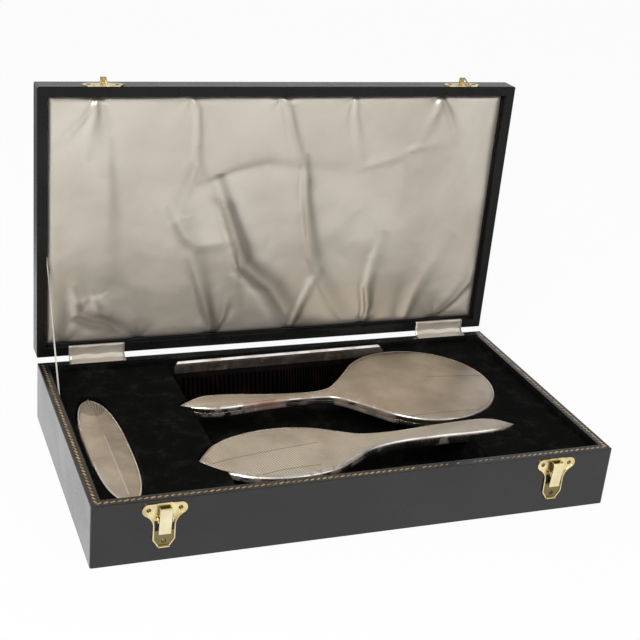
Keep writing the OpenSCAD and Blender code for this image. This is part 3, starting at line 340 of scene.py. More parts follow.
def shaded_plate_brass():
    """Brass with painted shade, dark olive, in the sunk part of the plate below the ears."""
    edge_stands_out, unshaded_above, full_shade_below = 1.05, 37.0, 29.0
    mat, tree, shader, color = metal("shaded_plate_brass", (0.88, 0.76, 0.45), (0.58, 0.46, 0.2),
                                     0.2, 0.36, 75.0)
    _, y, z = in_millimetres(tree)
    sunk = calc(tree, "GREATER_THAN", y, case_low.y - edge_stands_out)
    low = between(tree, z, unshaded_above, full_shade_below)
    # Painted shade: the sunk part of the plate goes dark olive lower down.
    painted_olive_shade = calc(tree, "MULTIPLY", calc(tree, "MULTIPLY", sunk, low), 0.88)
    paint(tree, shader, blend_color(tree, painted_olive_shade, color, (0.13, 0.105, 0.04)))
    return mat


def lever_brass_shaded_sides(side):
    """A lever's bright face, and painted shade on its sides, which stand in the dark gaps beside it."""
    side_depth = 0.12
    low, high = box_mm("latch_lever_" + side)
    mat, tree, shader, color = metal("lever_brass_shaded_sides_" + side, (0.92, 0.84, 0.58), (0.8, 0.68, 0.4),
                                     0.22, 0.34, 60.0)
    x = in_millimetres(tree)[0]
    off = calc(tree, "ABSOLUTE", calc(tree, "SUBTRACT", x, (low.x + high.x) / 2))
    # Painted shade: the lever's sides are darkened where the gaps beside them fall in shadow.
    edge = calc(tree, "GREATER_THAN", off, (high.x - low.x) / 2 - side_depth)
    paint(tree, shader, blend_color(tree, edge, color, (0.1, 0.08, 0.03)))
    return mat


def comb_silver_painted_shade():
    """Bright silver along the bevel at the top edge; below it, painted shade makes the silver near black,
    with brown stains.
    """
    bevel_height = 1.9 * MM
    # Painted shade: below the bevel the silver is given a near-black colour.
    mat, tree, shader, color = metal("comb_silver_painted_shade", (0.07, 0.06, 0.05), (0.035, 0.029, 0.024),
                                     0.4, 0.5, 40.0, (0.16, 0.11, 0.08))
    # The comb's own way up, which leans back by 15 degrees.
    lean = Vector((-0.0101, 0.2588, 0.9659))
    corners = [lean.dot(v.co) for v in frame["nodes"]["comb_mount"].data.vertices]
    along = add(tree, "ShaderNodeVectorMath", operation="DOT_PRODUCT")
    tree.links.new(place(tree), along.inputs[0])
    along.inputs[1].default_value = lean
    bevel = calc(tree, "GREATER_THAN", along.outputs["Value"], max(corners) - bevel_height)
    bright = ramp(tree, clouds(tree, 60.0), (0.35, (0.55, 0.47, 0.39)), (0.55, (0.85, 0.83, 0.8)))
    paint(tree, shader, blend_color(tree, bevel, color, bright))
    return mat


def dark_paper():
    mat, tree, shader = new_material("dark_paper", (0.012, 0.011, 0.01), 0.8)
    paint(tree, shader, ramp(tree, clouds(tree, 90.0), (0.3, (0.008, 0.007, 0.006)),
                             (0.7, (0.016, 0.015, 0.013))))
    return mat


def wood():
    mat, tree, shader = new_material("wood", (0.5, 0.36, 0.22), 0.6)
    figure = clouds(tree, 30.0, 6.0, stretch=(0.15, 1, 1))
    paint(tree, shader, ramp(tree, figure, (0.3, (0.30, 0.19, 0.10)), (0.7, (0.47, 0.33, 0.2))))
    return mat


def shell():
    mat, tree, shader = new_material("tortoiseshell", (0.004, 0.002, 0.0015), 0.4)
    shader.inputs["Specular IOR Level"].default_value = 0.08
    paint(tree, shader, ramp(tree, clouds(tree, 60.0, 3.0), (0.5, (0.0012, 0.0007, 0.0005)),
                             (0.72, (0.008, 0.003, 0.0015))))
    return mat


def hair(name, dark, light):
    mat, tree, shader = new_material(name, dark, 0.45)
    paint(tree, shader, ramp(tree, clouds(tree, 260.0, 2.0), (0.3, dark), (0.7, light)))
    return mat


def looking_glass():
    mat, tree, shader = new_material("looking_glass", (0.85, 0.87, 0.88), 0.03, 1.0)
    paint(tree, shader, ramp(tree, clouds(tree, 90.0, 6.0), (0.28, (0.55, 0.52, 0.48)),
                             (0.36, (0.86, 0.88, 0.89))))
    return mat


bright_silver = tarnished_silver()
gilding = metal("gilding", (0.86, 0.62, 0.34), (0.36, 0.23, 0.11), 0.35, 0.5, 170.0)[0]
brass = metal("brass", (0.86, 0.75, 0.45), (0.55, 0.44, 0.2), 0.2, 0.36, 75.0, (0.3, 0.22, 0.09))[0]
dark_brass = metal("dark_brass", (0.2, 0.14, 0.07), (0.09, 0.06, 0.03), 0.35, 0.5, 200.0)[0]
finishes = {
    "leatherette": leatherette("leatherette", 0.36), "velvet": velvet(), "satin": satin(), "wood": wood(),
    "card": dark_paper(), "brass": brass,
    "spring_steel": metal("spring_steel", (0.6, 0.6, 0.6), (0.4, 0.4, 0.4), 0.25, 0.4)[0],
    "silver": bright_silver, "mirror_glass": looking_glass(),
    "bristle": hair("bristle", (0.016, 0.009, 0.006), (0.06, 0.034, 0.018)), "tortoiseshell": shell()}
own_finish = {"lid_covering": leatherette("lid_leatherette", 0.11), "comb_mount": comb_silver_painted_shade(),
              "lid_carcass": finishes["card"], "latch_brads": dark_brass, "keeper_brads": dark_brass}
# The latch plates take the brass with painted shade in their sunk lower part.
shaded_olive_brass = shaded_plate_brass()
for side in ("left", "right"):
    own_finish["latch_lever_" + side] = lever_brass_shaded_sides(side)
    own_finish["latch_plate_" + side] = shaded_olive_brass

slot_of = {s["node"]: s["material_slot"] for s in frame["record"]["subparts"]}
for node, obj in frame["nodes"].items():
    obj.data.materials.clear()
    obj.data.materials.append(own_finish.get(node, finishes[slot_of[node]]))


# Helpers for pieces

def mesh_piece(name, points, faces, materials, marks=None, smooth=True):
    """A piece from points in millimetres, with its faces turned outwards."""
    mesh = bpy.data.meshes.new(name)
    mesh.from_pydata([Vector(p) * MM for p in points], [], faces)
    for material in materials:
        mesh.materials.append(material)
    if marks:
        mesh.polygons.foreach_set("material_index", marks)
    shape = bmesh.new()
    shape.from_mesh(mesh)
    bmesh.ops.remove_doubles(shape, verts=shape.verts, dist=0.00001)
    bmesh.ops.recalc_face_normals(shape, faces=shape.faces)
    shape.to_mesh(mesh)
    shape.free()
    mesh.polygons.foreach_set("use_smooth", [smooth] * len(mesh.polygons))
    piece = bpy.data.objects.new(name, mesh)
    scene.collection.objects.link(piece)
    return piece


def only(piece):
    """Selects one piece and nothing else."""
    bpy.ops.object.select_all(action="DESELECT")
    piece.select_set(True)
    bpy.context.view_layer.objects.active = piece


def finish_with(piece, kind, **values):
    """Adds a modifier and applies it."""
    only(piece)
    modifier = piece.modifiers.new(kind, kind)
    for key, value in values.items():
        setattr(modifier, key, value)
    bpy.ops.object.modifier_apply(modifier=modifier.name)


# Silver backs, lofted over stations along each piece, in millimetres
# A row is place, half width, bevel width, height of the top edge and drop of the bevel.

def smooth_rows(rows, steps):
    """Rows along a smooth curve through the given ones, steps between each two."""
    rows = np.array(rows, float)
    result = []
    for k in range(steps * (len(rows) - 1) + 1):
        i = min(k // steps, len(rows) - 2)
        f = k / steps - i
        a, b, c, d = rows[max(i - 1, 0)], rows[i], rows[i + 1], rows[min(i + 2, len(rows) - 1)]
        result.append(0.5 * (2 * b + (c - a) * f + (2 * a - 5 * b + 4 * c - d) * f**2
                             + (3 * b - a - 3 * c + d) * f**3))
    return np.array(result)


def side_points(stations, inset):
    """The right edge of a piece, drawn in by inset."""
    ways = np.gradient(stations[:, :2], axis=0)
    ways /= np.linalg.norm(ways, axis=1)[:, None]
    normals = np.stack([-ways[:, 1], ways[:, 0]], axis=1)
    normals[0], normals[-1] = (-1, 0), (1, 0)
    edge = stations[:, :2] - normals * np.asarray(inset)[:, None]
    edge[:, 1] = np.maximum(edge[:, 1], 0.02)
    return edge


def silver_back(name, stations, bottom, rise, ridge, materials, origin, turn):
    """A closed silver back: flat underside, rolled rim, narrow groove and crowned engraved field.

    rise scales the crown. ridge is the share of it that rises straight to the middle line.
    """
    bevel, top, drop = stations[:, 2], stations[:, 3], stations[:, 4]
    thin = np.minimum(1, stations[:, 1] / 4)
    rings = [(1.2 * thin, np.full(len(top), bottom)), (0.3 * thin, np.full(len(top), bottom + 0.1)),
             (0 * thin, np.full(len(top), bottom + 0.5))]
    for a in (0, 18, 36, 54, 72, 90):
        roll_in = 0.62 * bevel * (1 - math.cos(math.radians(a)))
        rings.append((roll_in, top - drop * (1 - 0.98 * math.sin(math.radians(a)))))
    groove = top - 0.26 * thin
    rings += [(0.72 * bevel, top - 0.02 * drop), (0.8 * bevel, groove), (0.9 * bevel, groove),
              (bevel, top - 0.04)]
    edges = [(side_points(stations, inset), z) for inset, z in rings]
    rim_rings = len(edges)
    field = edges[-1][0]
    for share in (0.93, 0.84, 0.72, 0.6, 0.48, 0.36, 0.24, 0.12, 0.0):
        crown = rise * (0.3 + 0.02 * field[:, 1]) * ((1 - ridge) * (1 - share**2) + ridge * (1 - share))
        edges.append((np.stack([field[:, 0], np.maximum(field[:, 1] * share, 0.01)], axis=1), top + crown))
    n = len(stations)
    c, s = math.cos(turn), math.sin(turn)
    engraved, polished = 0, 1
    points, faces, marks = [], [], []
    for edge, z in edges:
        for side in (-1, 1):
            points += [(origin[0] + c * x - s * side * y, origin[1] + s * x + c * side * y, h)
                       for (x, y), h in zip(edge, z)]

    def at(ring, side, i):
        return (2 * ring + side) * n + i

    def quad(mark, *corners):
        faces.append(corners)
        marks.append(mark)

    for r in range(len(edges) - 1):
        mark = engraved if r >= rim_rings - 1 else polished
        for side in (0, 1):
            for i in range(n - 1):
                quad(mark, at(r, side, i), at(r + 1, side, i), at(r + 1, side, i + 1), at(r, side, i + 1))
        for i in (0, n - 1):
            quad(polished, at(r, 0, i), at(r, 1, i), at(r + 1, 1, i), at(r + 1, 0, i))
    last = len(edges) - 1
    for i in range(n - 1):
        quad(polished, at(0, 0, i), at(0, 0, i + 1), at(0, 1, i + 1), at(0, 1, i))
        quad(engraved, at(last, 0, i), at(last, 0, i + 1), at(last, 1, i + 1), at(last, 1, i))
    return mesh_piece(name, points, faces, materials, marks)


def mirror_silver():
    low, high = box_mm("mirror_back")
    radius = (high.y - low.y) / 2
    reach = high.x - radius - low.x
    rim_height, shoulder = 5.4, 36
    top = low.z + rim_height
    handle = reach - radius * math.cos(math.radians(shoulder))
    rows = [(0, 0.3, 0.1, top - 2.2, 0.3),
            (0.123 * handle, 10.3, 2.6, top, 2), (0.221 * handle, 11.8, 3, top, 2.4),
            (0.331 * handle, 10.2, 2.8, top - 0.2, 2.4), (0.466 * handle, 7, 2.5, top - 0.8, 2),
            (0.614 * handle, 5.5, 2.2, top - 1.4, 1.8), (0.73 * handle, 5.4, 2.1, top - 1.6, 1.7),
            (0.822 * handle, 8.8, 2.2, top - 1.1, 1.7), (0.902 * handle, 20.5, 2, top - 0.5, 2),
            (handle, radius * math.sin(math.radians(shoulder)), 2, top, 1.6)]
    step = 2.4
    head = [(reach - radius * math.cos(math.radians(a)), max(radius * math.sin(math.radians(a)), 0.3),
             2, top, 1.6) for a in np.arange(shoulder + step, 180.01, step)]
    stations = np.vstack([smooth_rows(rows, 10), np.array(head)])
    middle = (low.y + high.y) / 2
    lines = [((228, 7.6), (284, 2.4)), ((178, -55.1), (249, -55.6))]
    # Painted light: the mirror's tones are set for how much light its back catches, between the
    # hairbrush's and the clothes brush's.
    field = engraved_silver("mirror_silver", (0.90, 0.79, 0.65), (0.66, 0.57, 0.45),
                            (low.x * MM, middle * MM, 0), 0, lines)
    piece = silver_back("mirror_back_silver", stations, low.z, 1.0, 0.0, [field, bright_silver],
                        (low.x, middle), 0)
    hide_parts("mirror_back")
    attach(piece, "mirror")


def hairbrush_silver():
    low, high = box_mm("hairbrush_back")
    turn = math.radians(1.6)
    length = (high.x - low.x) / math.cos(turn)
    tip_y = -0.25 * (case_high.y - case_low.y)
    half = 0.138 * length
    rim_height = 5.6
    top = low.z + rim_height
    head = 0.549 * length
    tail = length - head
    rows = [(0, 0.4, 0.2, top - 1.2, 0.5), (0.093 * head, 0.49 * half, 2.4, top - 0.3, 2),
            (0.15 * head, 0.665 * half, 3.4, top, 3), (0.225 * head, 0.83 * half, 4, top, 3),
            (0.371 * head, 0.98 * half, 4, top, 3), (0.53 * head, half, 4, top, 3),
            (0.689 * head, 0.86 * half, 4, top, 3),
            (0.821 * head, 0.57 * half, 3, top + 0.4, 4), (0.927 * head, 0.34 * half, 2.8, top + 1, 4.6),
            (head + 0.12 * tail, 0.234 * half, 2.6, top + 2.1, 5),
            (head + 0.4 * tail, 0.253 * half, 2.8, top + 3.2, 5.5),
            (head + 0.7 * tail, 0.289 * half, 3, top + 3.4, 6),
            (head + 0.87 * tail, 0.226 * half, 2.4, top + 2.6, 4.5),
            (length, 0.3, 0.1, top - 0.6, 0.3)]
    lines = [((9, -6.1), (50.6, -0.6)), ((50.6, -0.6), (98.6, 4.8)),
             ((20, -33), (59, -27.1)), ((59, -27.1), (90, -26.4))]
    origin = (low.x * MM, tip_y * MM, 0)
    # Painted light: the hairbrush's tones are the lightest of the three backs, for the light its back
    # catches.
    field = engraved_silver("hairbrush_silver", (0.98, 0.90, 0.77), (0.80, 0.71, 0.58),
                            origin, turn, lines, fan=(34, 9, 25, -1))
    piece = silver_back("hairbrush_back_silver", smooth_rows(rows, 10), low.z, 1.6, 0.0,
                        [field, bright_silver], (low.x, tip_y), turn)
    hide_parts("hairbrush_back")
    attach(piece, "hairbrush")


def clothes_brush_silver():
    low, high = box_mm("clothes_brush_back")
    short_by, rim_height, count = 2.4, 5.6, 40
    half_l, half_w = (high.y - low.y - short_by) / 2, (high.x - low.x) / 2
    top = low.z + rim_height
    fan_centre, fan_edge = 2 * half_l - 44, 2 * half_l - 31.7
    stations = []
    for k in range(-count, count + 1):
        t = math.sin(math.radians(90 * k / count))
        w = half_w * math.sqrt(1 - abs(t)**3 + 0.0001)
        stations.append((half_l * (1 + t), max(w, 0.3), min(2.2, 0.5 * w), top - t * t, 2))
    middle = (low.x + high.x) / 2
    turn = math.radians(90)
    origin = (middle * MM, low.y * MM, 0)
    # Painted light: the clothes brush's tones are the darkest of the three backs, for the light its back
    # catches.
    field = engraved_silver("clothes_brush_silver", (0.71, 0.63, 0.525), (0.50, 0.43, 0.345),
                            origin, turn, [], fan=(fan_centre, fan_edge, 9, 1), depth=0.1,
                            ridge=(0.12 * half_l, 1.2 * half_l))
    piece = silver_back("clothes_brush_silver", np.array(stations), low.z, 3.2, 0.45,
                        [field, bright_silver], (middle, low.y), turn)
    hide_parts("clothes_brush_back")
    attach(piece, "clothes_brush")


mirror_silver()
hairbrush_silver()
clothes_brush_silver()


# Bristles: tufts of splayed hairs in rows, and the slice of the pad that holds them

def tufts(name, node, body, material, half_x, half_y, pitch, seed):
    low, high = box_mm(node)
    chance = random.Random(seed)
    hairs, root_radius, tip_radius = 5, 0.22, 0.13
    row_pitch = 0.88 * pitch
    sides, margin, slice_depth = 48, 2, 0.4
    middle = (low + high) / 2
    root = high.z - slice_depth
    tip = low.z
    points, faces = [], []
    rows = int(half_y / row_pitch) + 1
    for j in range(-rows, rows + 1):
        for i in range(-int(half_x / pitch) - 1, int(half_x / pitch) + 2):
            x, y = pitch * (i + (j % 2) * 0.5), row_pitch * j
            if (x / half_x)**2 + (y / half_y)**2 >= 1:
                continue
            for k in range(hairs):
                a = math.radians(360 / hairs * k) + chance.uniform(-0.4, 0.4)
                near, far = 0.35, chance.uniform(0.7, 1.3)
                hole_x, hole_y = middle.x + x, middle.y + y
                start = Vector((hole_x + near * math.cos(a), hole_y + near * math.sin(a), root))
                end = Vector((hole_x + far * math.cos(a), hole_y + far * math.sin(a),
                              tip + chance.uniform(0, 1.2)))
                first = len(points)
                for centre, r in ((start, root_radius), (end, tip_radius)):
                    points += [centre + Vector((r * math.cos(b), r * math.sin(b), 0))
                               for b in (0, 2.09, 4.19)]
                hair_faces = ((0, 1, 4, 3), (1, 2, 5, 4), (2, 0, 3, 5), (3, 4, 5), (2, 1, 0))
                faces += [tuple(first + corner for corner in face) for face in hair_faces]
    first = len(points)
    ring = [(middle.x + (half_x + margin) * math.cos(a), middle.y + (half_y + margin) * math.sin(a))
            for a in np.linspace(0, 2 * math.pi, sides, endpoint=False)]
    points += [Vector((x, y, z)) for z in (root - slice_depth, high.z) for x, y in ring]
    upper = first + sides
    faces += [tuple(range(first, upper)), tuple(range(upper, upper + sides))]
    faces += [(first + i, first + (i + 1) % sides, upper + (i + 1) % sides, upper + i)
              for i in range(sides)]
    piece = mesh_piece(name, points, faces, [material], smooth=False)
    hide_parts(node)
    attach(piece, body)


tufts("hairbrush_tufts", "hairbrush_bristles", "hairbrush", finishes["bristle"], 45, 29, 3.4, 3)
tufts("clothes_brush_tufts", "clothes_brush_bristles", "clothes_brush",
      hair("pale_bristle", (0.05, 0.035, 0.022), (0.16, 0.12, 0.08)), 12, 68, 3.2, 5)


# Satin lining: a thin pad with rolled edges, tacked at points along its edges, in millimetres
# A crease is its points on the lining (x, z), its height, the width of its steep side, the width
# of its gentle side, and 1 or -1 for a gentle side on the left or right of the way it runs.
creases = [
    ([(-162, 277), (-163, 267), (-165, 258), (-168, 244)], 1.5, 2.0, 7.0, 1),
    ([(-163, 272), (-173, 258), (-186, 243)], 1.0, 2.0, 6.0, -1),
    ([(-160, 275), (-156, 259), (-152, 234)], 1.0, 3.0, 9.0, -1),
    ([(-84, 277), (-79, 266), (-78, 245), (-78, 224), (-72, 206), (-64, 194)], 1.4, 1.8, 7.0, 1),
    ([(-77, 222), (-83, 198), (-92, 172)], 0.9, 5.0, 12.0, -1),
    ([(-65, 203), (-44, 211), (-15, 217), (17, 212), (50, 210)], -1.1, 8.0, 10.0, 1),
    ([(-6, 277), (0, 267), (5, 248), (13, 226), (19, 211)], 1.7, 1.8, 7.0, 1),
    ([(19, 211), (21, 186), (26, 158), (32, 132), (40, 111), (56, 84)], 2.6, 2.0, 13.0, 1),
    ([(-54, 191), (-45, 165), (-38, 146), (-32, 128), (-19, 115), (-5, 104), (6, 87), (18, 66)],
     4.0, 3.0, 17.0, 1),
    ([(-38, 146), (-33, 128), (-29, 104)], 1.6, 2.2, 6.0, -1),
    ([(-56, 64), (-63, 87), (-71, 114), (-79, 137)], 3.0, 2.5, 13.0, -1),
    ([(-56, 64), (-47, 78), (-43, 98)], 2.2, 2.0, 7.0, 1),
    ([(-94, 174), (-85, 157), (-73, 148), (-55, 149), (-40, 151)], 1.2, 5.0, 11.0, -1),
    ([(18, 66), (21, 76), (25, 88), (33, 106)], 2.6, 2.0, 7.0, -1),
    ([(60, 277), (61, 260), (67, 234)], 1.3, 1.8, 6.0, 1),
    ([(90, 64), (91, 82), (88, 101), (92, 128)], 2.8, 1.8, 10.0, -1),
    ([(164, 68), (181, 84), (194, 100), (198, 116)], 2.2, 2.5, 9.0, 1),
    ([(141, 277), (139, 264), (132, 251)], 1.5, 2.0, 8.0, 1),
    ([(142, 275), (152, 259), (158, 246)], 1.0, 2.5, 6.0, -1),
    ([(115, 228), (132, 232), (146, 235)], 0.7, 3.0, 7.0, -1),
    ([(77, 215), (95, 220), (114, 225), (123, 210), (121, 190)], 0.6, 5.0, 9.0, -1),
    ([(-178, 104), (-175, 90), (-163, 84), (-151, 81), (-139, 71), (-125, 61)], 2.2, 4.0, 11.0, 1),
    ([(-162, 105), (-157, 91), (-144, 84)], 1.2, 3.0, 7.0, 1),
    ([(-153, 228), (-151, 180), (-153, 108)], 1.0, 14.0, 14.0, 1),
    ([(130, 64), (138, 92), (152, 122)], 1.6, 5.0, 12.0, -1)]
# A tack is its place along the width, and 1 for the top edge or -1 for the bottom edge.
tacks = [(x, 1) for x in (-162, -84, -6, 60, 141)] + [(x, -1) for x in (-186, -122, -56, 18, 90, 162)]


def crease_shape(px, pz, crease):
    """A crease's height at each point, and the painted shade on its gentle side, where the fold turns from
    the light.
    """
    points, height, steep, gentle, side = crease
    crest, height_scale, painted_shade_scale = 0.5, 1.5, 0.3
    points = np.array(points, float)
    lengths = np.linalg.norm(np.diff(points, axis=0), axis=1)
    best = np.full(px.shape, 1e9)
    signed = np.zeros(px.shape)
    along = np.zeros(px.shape)
    walked = 0
    for a, b, length in zip(points[:-1], points[1:], lengths):
        way = (b - a) / length
        t = np.clip((px - a[0]) * way[0] + (pz - a[1]) * way[1], 0, length)
        dx, dz = px - a[0] - t * way[0], pz - a[1] - t * way[1]
        distance = np.hypot(dx, dz)
        nearer = distance < best
        best = np.where(nearer, distance, best)
        signed = np.where(nearer, (way[0] * dz - way[1] * dx) * side, signed)
        along = np.where(nearer, (walked + t) / lengths.sum(), along)
        walked += length
    taper = np.clip(1.3 - along, 0, 1) * np.clip(along * 8 + 0.5, 0, 1)
    swell = 0.6 + 0.8 * along
    turn = 1 / (1 + np.exp(-signed / (0.35 * steep)))
    width = (steep + (gentle - steep) * turn) * swell
    narrow, broad = steep * swell, gentle * swell
    ridge = np.exp(-np.sqrt(best**2 + crest**2) / width)
    hollow = np.exp(-((signed + 2.6 * narrow) / (1.6 * narrow))**2 - (best / (5 * narrow))**2)
    # Painted shade: a broad dark band on the gentle side of the crease, where the fold turns from the
    # light.
    band = np.exp(-((signed / broad - 0.45) / 0.4)**2) * (best < 2 * broad)
    lift = height_scale * height * taper * (ridge - 0.35 * hollow)
    return lift, painted_shade_scale * abs(height) * taper * band


def satin_pad():
    """The grid of the lining's face, moved into rolls, creases and tacks, and closed at the back."""
    oversize, roll, roll_depth, most_rise = 1.2, 9.0, 3.4, 4.6
    tack_depth, tack_width, tack_height = {1: 1.5, -1: 2.6}, 7, 9
    pleats, pleat_rise, pleat_reach = 7, 0.45, 15
    middle = (satin_low + satin_high) / 2
    width = satin_high.x - satin_low.x + oversize
    depth = satin_high.z - satin_low.z + oversize
    crown = satin_low.y + 0.3
    bpy.ops.object.select_all(action="DESELECT")
    bpy.ops.mesh.primitive_grid_add(x_subdivisions=252, y_subdivisions=134, size=1)
    pad = bpy.context.object
    pad.name = "satin_lining_pad"
    count = len(pad.data.vertices)
    flat = np.zeros(count * 3)
    pad.data.vertices.foreach_get("co", flat)
    flat = flat.reshape(-1, 3)
    u, v = 2 * flat[:, 0], 2 * flat[:, 1]
    x = middle.x + u * width / 2
    z = middle.z + v * depth / 2
    rise = np.zeros(count)
    painted_shade = np.zeros(count)
    for crease in creases:
        # Each crease adds its height and the painted shade on its gentle side.
        lift, fold_shade = crease_shape(x, z, crease)
        rise += lift
        painted_shade += fold_shade
    for k in range(count):
        spot = Vector((x[k], 0, z[k]))
        rise[k] += 1.1 * noise.noise(spot / 58) + 0.45 * noise.noise(spot / 24 + Vector((7, 3, 1)))
        rise[k] += 0.12 * noise.noise(spot / 9)
    edge = np.minimum(width / 2 - np.abs(x - middle.x), depth / 2 - np.abs(z - middle.z))
    inner = np.clip(edge / roll, 0, 1)
    sunk = roll_depth * (1 - np.sqrt(1 - (1 - inner)**2))
    for tack_x, end in tacks:
        tack_z = satin_high.z if end > 0 else satin_low.z
        dimple = np.exp(-((x - tack_x) / tack_width)**2) * np.exp(-np.abs(z - tack_z) / tack_height)
        sunk += tack_depth[end] * dimple
        far = np.hypot(x - tack_x, z - tack_z)
        fan = np.cos(pleats * np.arctan2(x - tack_x, np.abs(z - tack_z)) + tack_x)
        rise += pleat_rise * fan * np.exp(-far / pleat_reach) * np.clip(far / 6, 0, 1)
    rise = most_rise * np.tanh(rise / most_rise) * np.clip(edge / 5 + 0.35, 0, 1)
    y = np.minimum(crown + sunk - rise, satin_high.y - 1.5)
    pad.data.vertices.foreach_set("co", (np.stack([x, y, z], axis=1) * MM).ravel())
    pad.data.update()
    # Painted shade: the satin is darker towards the bottom of the lining.
    painted_shade += 0.25 * np.clip((120 - z) / 60, 0, 1)
    attribute = pad.data.attributes.new("painted_shade", "FLOAT", "POINT")
    attribute.data.foreach_set("value", np.clip(painted_shade, 0, 1))
    only(pad)
    bpy.ops.object.mode_set(mode="EDIT")
    bpy.ops.mesh.select_all(action="DESELECT")
    bpy.ops.mesh.select_mode(type="EDGE")
    bpy.ops.mesh.select_non_manifold()
    bpy.ops.mesh.extrude_edges_move()
    bpy.ops.transform.resize(value=(0.99, 0, 0.99), center_override=(0, satin_high.y * MM, middle.z * MM))
    bpy.ops.mesh.edge_face_add()
    bpy.ops.mesh.select_all(action="SELECT")
    bpy.ops.mesh.normals_make_consistent(inside=False)
    bpy.ops.object.mode_set(mode="OBJECT")
    bpy.ops.object.shade_smooth()
    pad.data.materials.append(finishes["satin"])
    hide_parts("satin_lining")
    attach(pad, "lid")


satin_pad()


# Satin tabs over the hinges and the ribbon stay: strips along a path in the side view

def strip(name, path, across, half_width, thickness, material, wave):
    """A strip of cloth and its length: path is (y, z), across gives the way of its width."""
    rows = smooth_rows(path, 6)
    lengths = np.concatenate([[0], np.cumsum(np.linalg.norm(np.diff(rows, axis=0), axis=1))])
    count = max(8, int(half_width * 2 / 2.5))
    points, faces = [], []
    for i, (y, z) in enumerate(rows):
        for k in range(count + 1):
            share = 2 * k / count - 1
            offset = across(lengths[i] / lengths[-1]) * share * half_width
            ripple = wave * math.sin(share * 7 + i * 0.5) * math.sin(math.pi * i / (len(rows) - 1))
            points.append((offset.x, y + offset.y + ripple, z + offset.z))
    n = count + 1
    for i in range(len(rows) - 1):
        faces += [(i * n + k, i * n + k + 1, (i + 1) * n + k + 1, (i + 1) * n + k) for k in range(count)]
    piece = mesh_piece(name, points, faces, [material])
    finish_with(piece, "SOLIDIFY", thickness=thickness * MM, offset=0)
    return piece, lengths[-1]


def hinge_tab(side):
    low, high = box_mm("hinge_tab_" + side)
    middle = (low.x + high.x) / 2
    path = [(119.4, 62.7), (118.1, 62.8), (117.5, 61.8), (117.45, 58), (117.4, 54.8), (116.5, 53.3),
            (115.7, 52.1), (114.6, 51.25), (113, 51.0), (110.6, 50.95), (108.4, 50.85)]
    width, thickness, ripple = high.x - low.x, 0.45, 0.15
    piece, length = strip("satin_tab_" + side, path, lambda t: Vector((1, 0, 0)), width / 2, thickness,
                          finishes["satin"], ripple)
    piece.data.transform(Matrix.Translation((middle * MM, 0, 0)))
    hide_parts("hinge_tab_" + side)
    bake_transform(piece)


hinge_tab("left")
hinge_tab("right")


def ribbon():
    low, high = Vector((0, 64, 49.4)), Vector((0, 122.2, 139))
    way = (high - low).normalized()
    side = Vector((0, way.z, -way.y))
    sag = side * 0.8
    half_width, thickness = 5, 0.35
    path = [low - way * 5, low, low.lerp(high, 0.25) + sag * 0.7, low.lerp(high, 0.5) + sag,
            low.lerp(high, 0.75) + sag * 0.7, high, high + way * 4]
    path = [(p.y, p.z) for p in path]

    def across(t):
        twist = math.radians(12 + 38 * max(0, t - 0.35) / 0.65)
        return side * math.cos(twist) + Vector((1, 0, 0)) * math.sin(twist) * 0.25

    piece, length = strip("ribbon_stay_cloth", path, across, half_width, thickness, ribbon_cloth(), 0.0)
    piece.data.transform(Matrix.Translation(((ribbon_low.x + 0.9) * MM, 0, 0)))
    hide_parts("ribbon_stay")
    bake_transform(piece)


ribbon()


# Gilt rope tooling on the rim of the base: slanted dashes, modelled once and copied

def rope_tooling():
    inset, pitch, slant = 4.1, 4.785, 24
    dash_length, dash_width, dash_height, dash_bevel = 3.9, 1.4, 0.08, 0.3
    worn_from, bare_from, bare_to, worn_to = 38, 62, 108, 128
    front, back = 0, 2
    top = case_high.z + 0.02
    chance = random.Random(11)
    bpy.ops.object.select_all(action="DESELECT")
    bpy.ops.mesh.primitive_cube_add(size=1)
    dash = bpy.context.object
    dash.scale = (dash_length * MM, dash_width * MM, dash_height * MM)
    bpy.ops.object.transform_apply(scale=True)
    finish_with(dash, "BEVEL", width=dash_bevel * MM, segments=2)
    dash.data.materials.append(gilding)
    half_w, half_d = case_high.x - inset, case_high.y - inset
    sides = [((-half_w, -half_d), (half_w, -half_d)), ((half_w, -half_d), (half_w, half_d)),
             ((half_w, half_d), (-half_w, half_d)), ((-half_w, half_d), (-half_w, -half_d))]
    copies = []
    for number, (a, b) in enumerate(sides):
        a, b = Vector(a), Vector(b)
        length = (b - a).length
        heading = math.atan2(b.y - a.y, b.x - a.x)
        count = round(length / pitch)
        for k in range(count):
            spot = a.lerp(b, (k + 0.5) / count)
            left = 1.0
            if number == front and worn_from < spot.x < worn_to:
                left = 0.35 if bare_from < spot.x < bare_to else 0.7
            if number == back:
                left = 0.0
            if chance.random() > left * 1.25:
                continue
            copy = dash.copy()
            copy.data = dash.data.copy()
            size = chance.uniform(0.85, 1.05) * (0.75 + 0.25 * left)
            copy.matrix_world = (Matrix.Translation((spot.x * MM, spot.y * MM, top * MM))
                                 @ Matrix.Rotation(heading + math.radians(slant), 4, "Z")
                                 @ Matrix.Diagonal((size, size * left**0.5, 1, 1)))
            scene.collection.objects.link(copy)
            copies.append(copy)
    bpy.data.objects.remove(dash)
    bpy.ops.object.select_all(action="DESELECT")
    for copy in copies:
        copy.select_set(True)
    bpy.context.view_layer.objects.active = copies[0]
    bpy.ops.object.join()
    rope = bpy.context.object
    rope.name = "gilt_rope_tooling"
    bpy.ops.object.transform_apply(location=True, rotation=True, scale=True)
    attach(rope, "base")


rope_tooling()


# Floor, world and lights

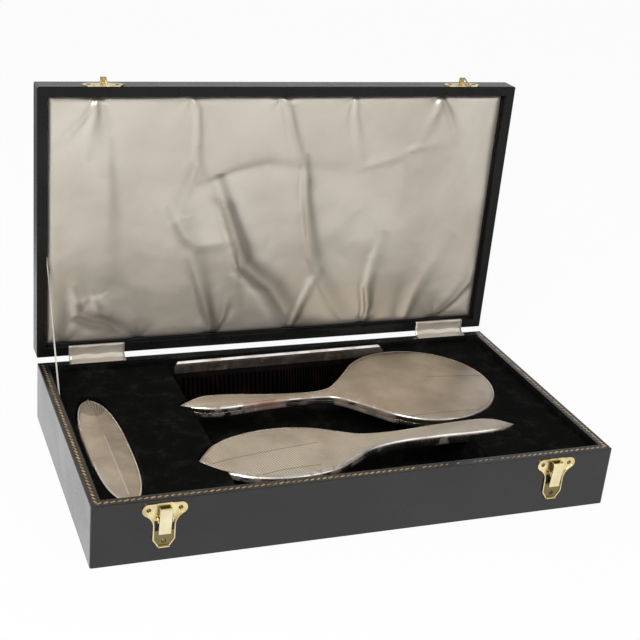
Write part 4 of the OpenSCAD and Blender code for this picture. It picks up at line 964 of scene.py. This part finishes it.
def white_over(tree, surface, out, share):
    """White, by its share, to a camera, a mirror or a glass, and the plain surface to light."""
    path = add(tree, "ShaderNodeLightPath")
    straight = calc(tree, "MAXIMUM", path.outputs["Is Camera Ray"], path.outputs["Is Glossy Ray"])
    straight = calc(tree, "MAXIMUM", straight, path.outputs["Is Transmission Ray"])
    white = add(tree, "ShaderNodeEmission", Strength=1.0, Color=(1, 1, 1, 1))
    mix = add(tree, "ShaderNodeMixShader")
    tree.links.new(calc(tree, "MULTIPLY", straight, share), mix.inputs["Fac"])
    tree.links.new(surface, mix.inputs[1])
    tree.links.new(white.outputs[0], mix.inputs[2])
    tree.links.new(mix.outputs[0], out)
    return white


def darker_in_reflections(tree, white, value, start, end, least):
    """Lets a mirror or a glossy surface see the surroundings go darker where value rises."""
    seen = between(tree, value, start, end, 1.0, least, "SMOOTHSTEP")
    glossy = add(tree, "ShaderNodeLightPath").outputs["Is Glossy Ray"]
    loss = calc(tree, "MULTIPLY", calc(tree, "SUBTRACT", 1.0, seen), glossy)
    tree.links.new(calc(tree, "SUBTRACT", 1.0, loss), white.inputs["Strength"])


bpy.ops.mesh.primitive_plane_add(size=8)
floor = bpy.context.object
floor.name = "floor"
mat, tree, shader = new_material("pale_floor", (0.86, 0.86, 0.86), 0.8)
white = white_over(tree, shader.outputs[0], tree.nodes["Material Output"].inputs["Surface"], 0.95)
x, y, _ = axes(tree, place(tree))
rightward = calc(tree, "ADD", x, y)
darker_in_reflections(tree, white, rightward, 0.1, 0.35, 0.3)
floor.data.materials.append(mat)

world = bpy.data.worlds.new("studio")
scene.world = world
world.use_nodes = True
tree = world.node_tree
tree.nodes.clear()
out = add(tree, "ShaderNodeOutputWorld")
soft = add(tree, "ShaderNodeBackground", Strength=0.32, Color=(1, 1, 1, 1))
sky = white_over(tree, soft.outputs[0], out.inputs["Surface"], 1.0)
x, _, z = axes(tree, add(tree, "ShaderNodeTexCoord").outputs["Generated"])
tree.links.new(ramp(tree, z, (0.05, 1.0), (0.45, 0.72), (1.0, 0.45)), sky.inputs["Color"])
darker_in_reflections(tree, sky, x, 0.35, 0.85, 0.3)


def lamp(name, at, size, power, aim=(0, 0, 0.05)):
    bpy.ops.object.light_add(type="AREA", location=at)
    light = bpy.context.object
    light.name = name
    light.data.size = size
    light.data.energy = power
    light.rotation_euler = (Vector(aim) - Vector(at)).to_track_quat("-Z", "Y").to_euler()


lamp("key", (-0.75, -0.95, 1.2), 0.6, 20)
lamp("fill", (0.9, -1.0, 1.0), 1.0, 3)
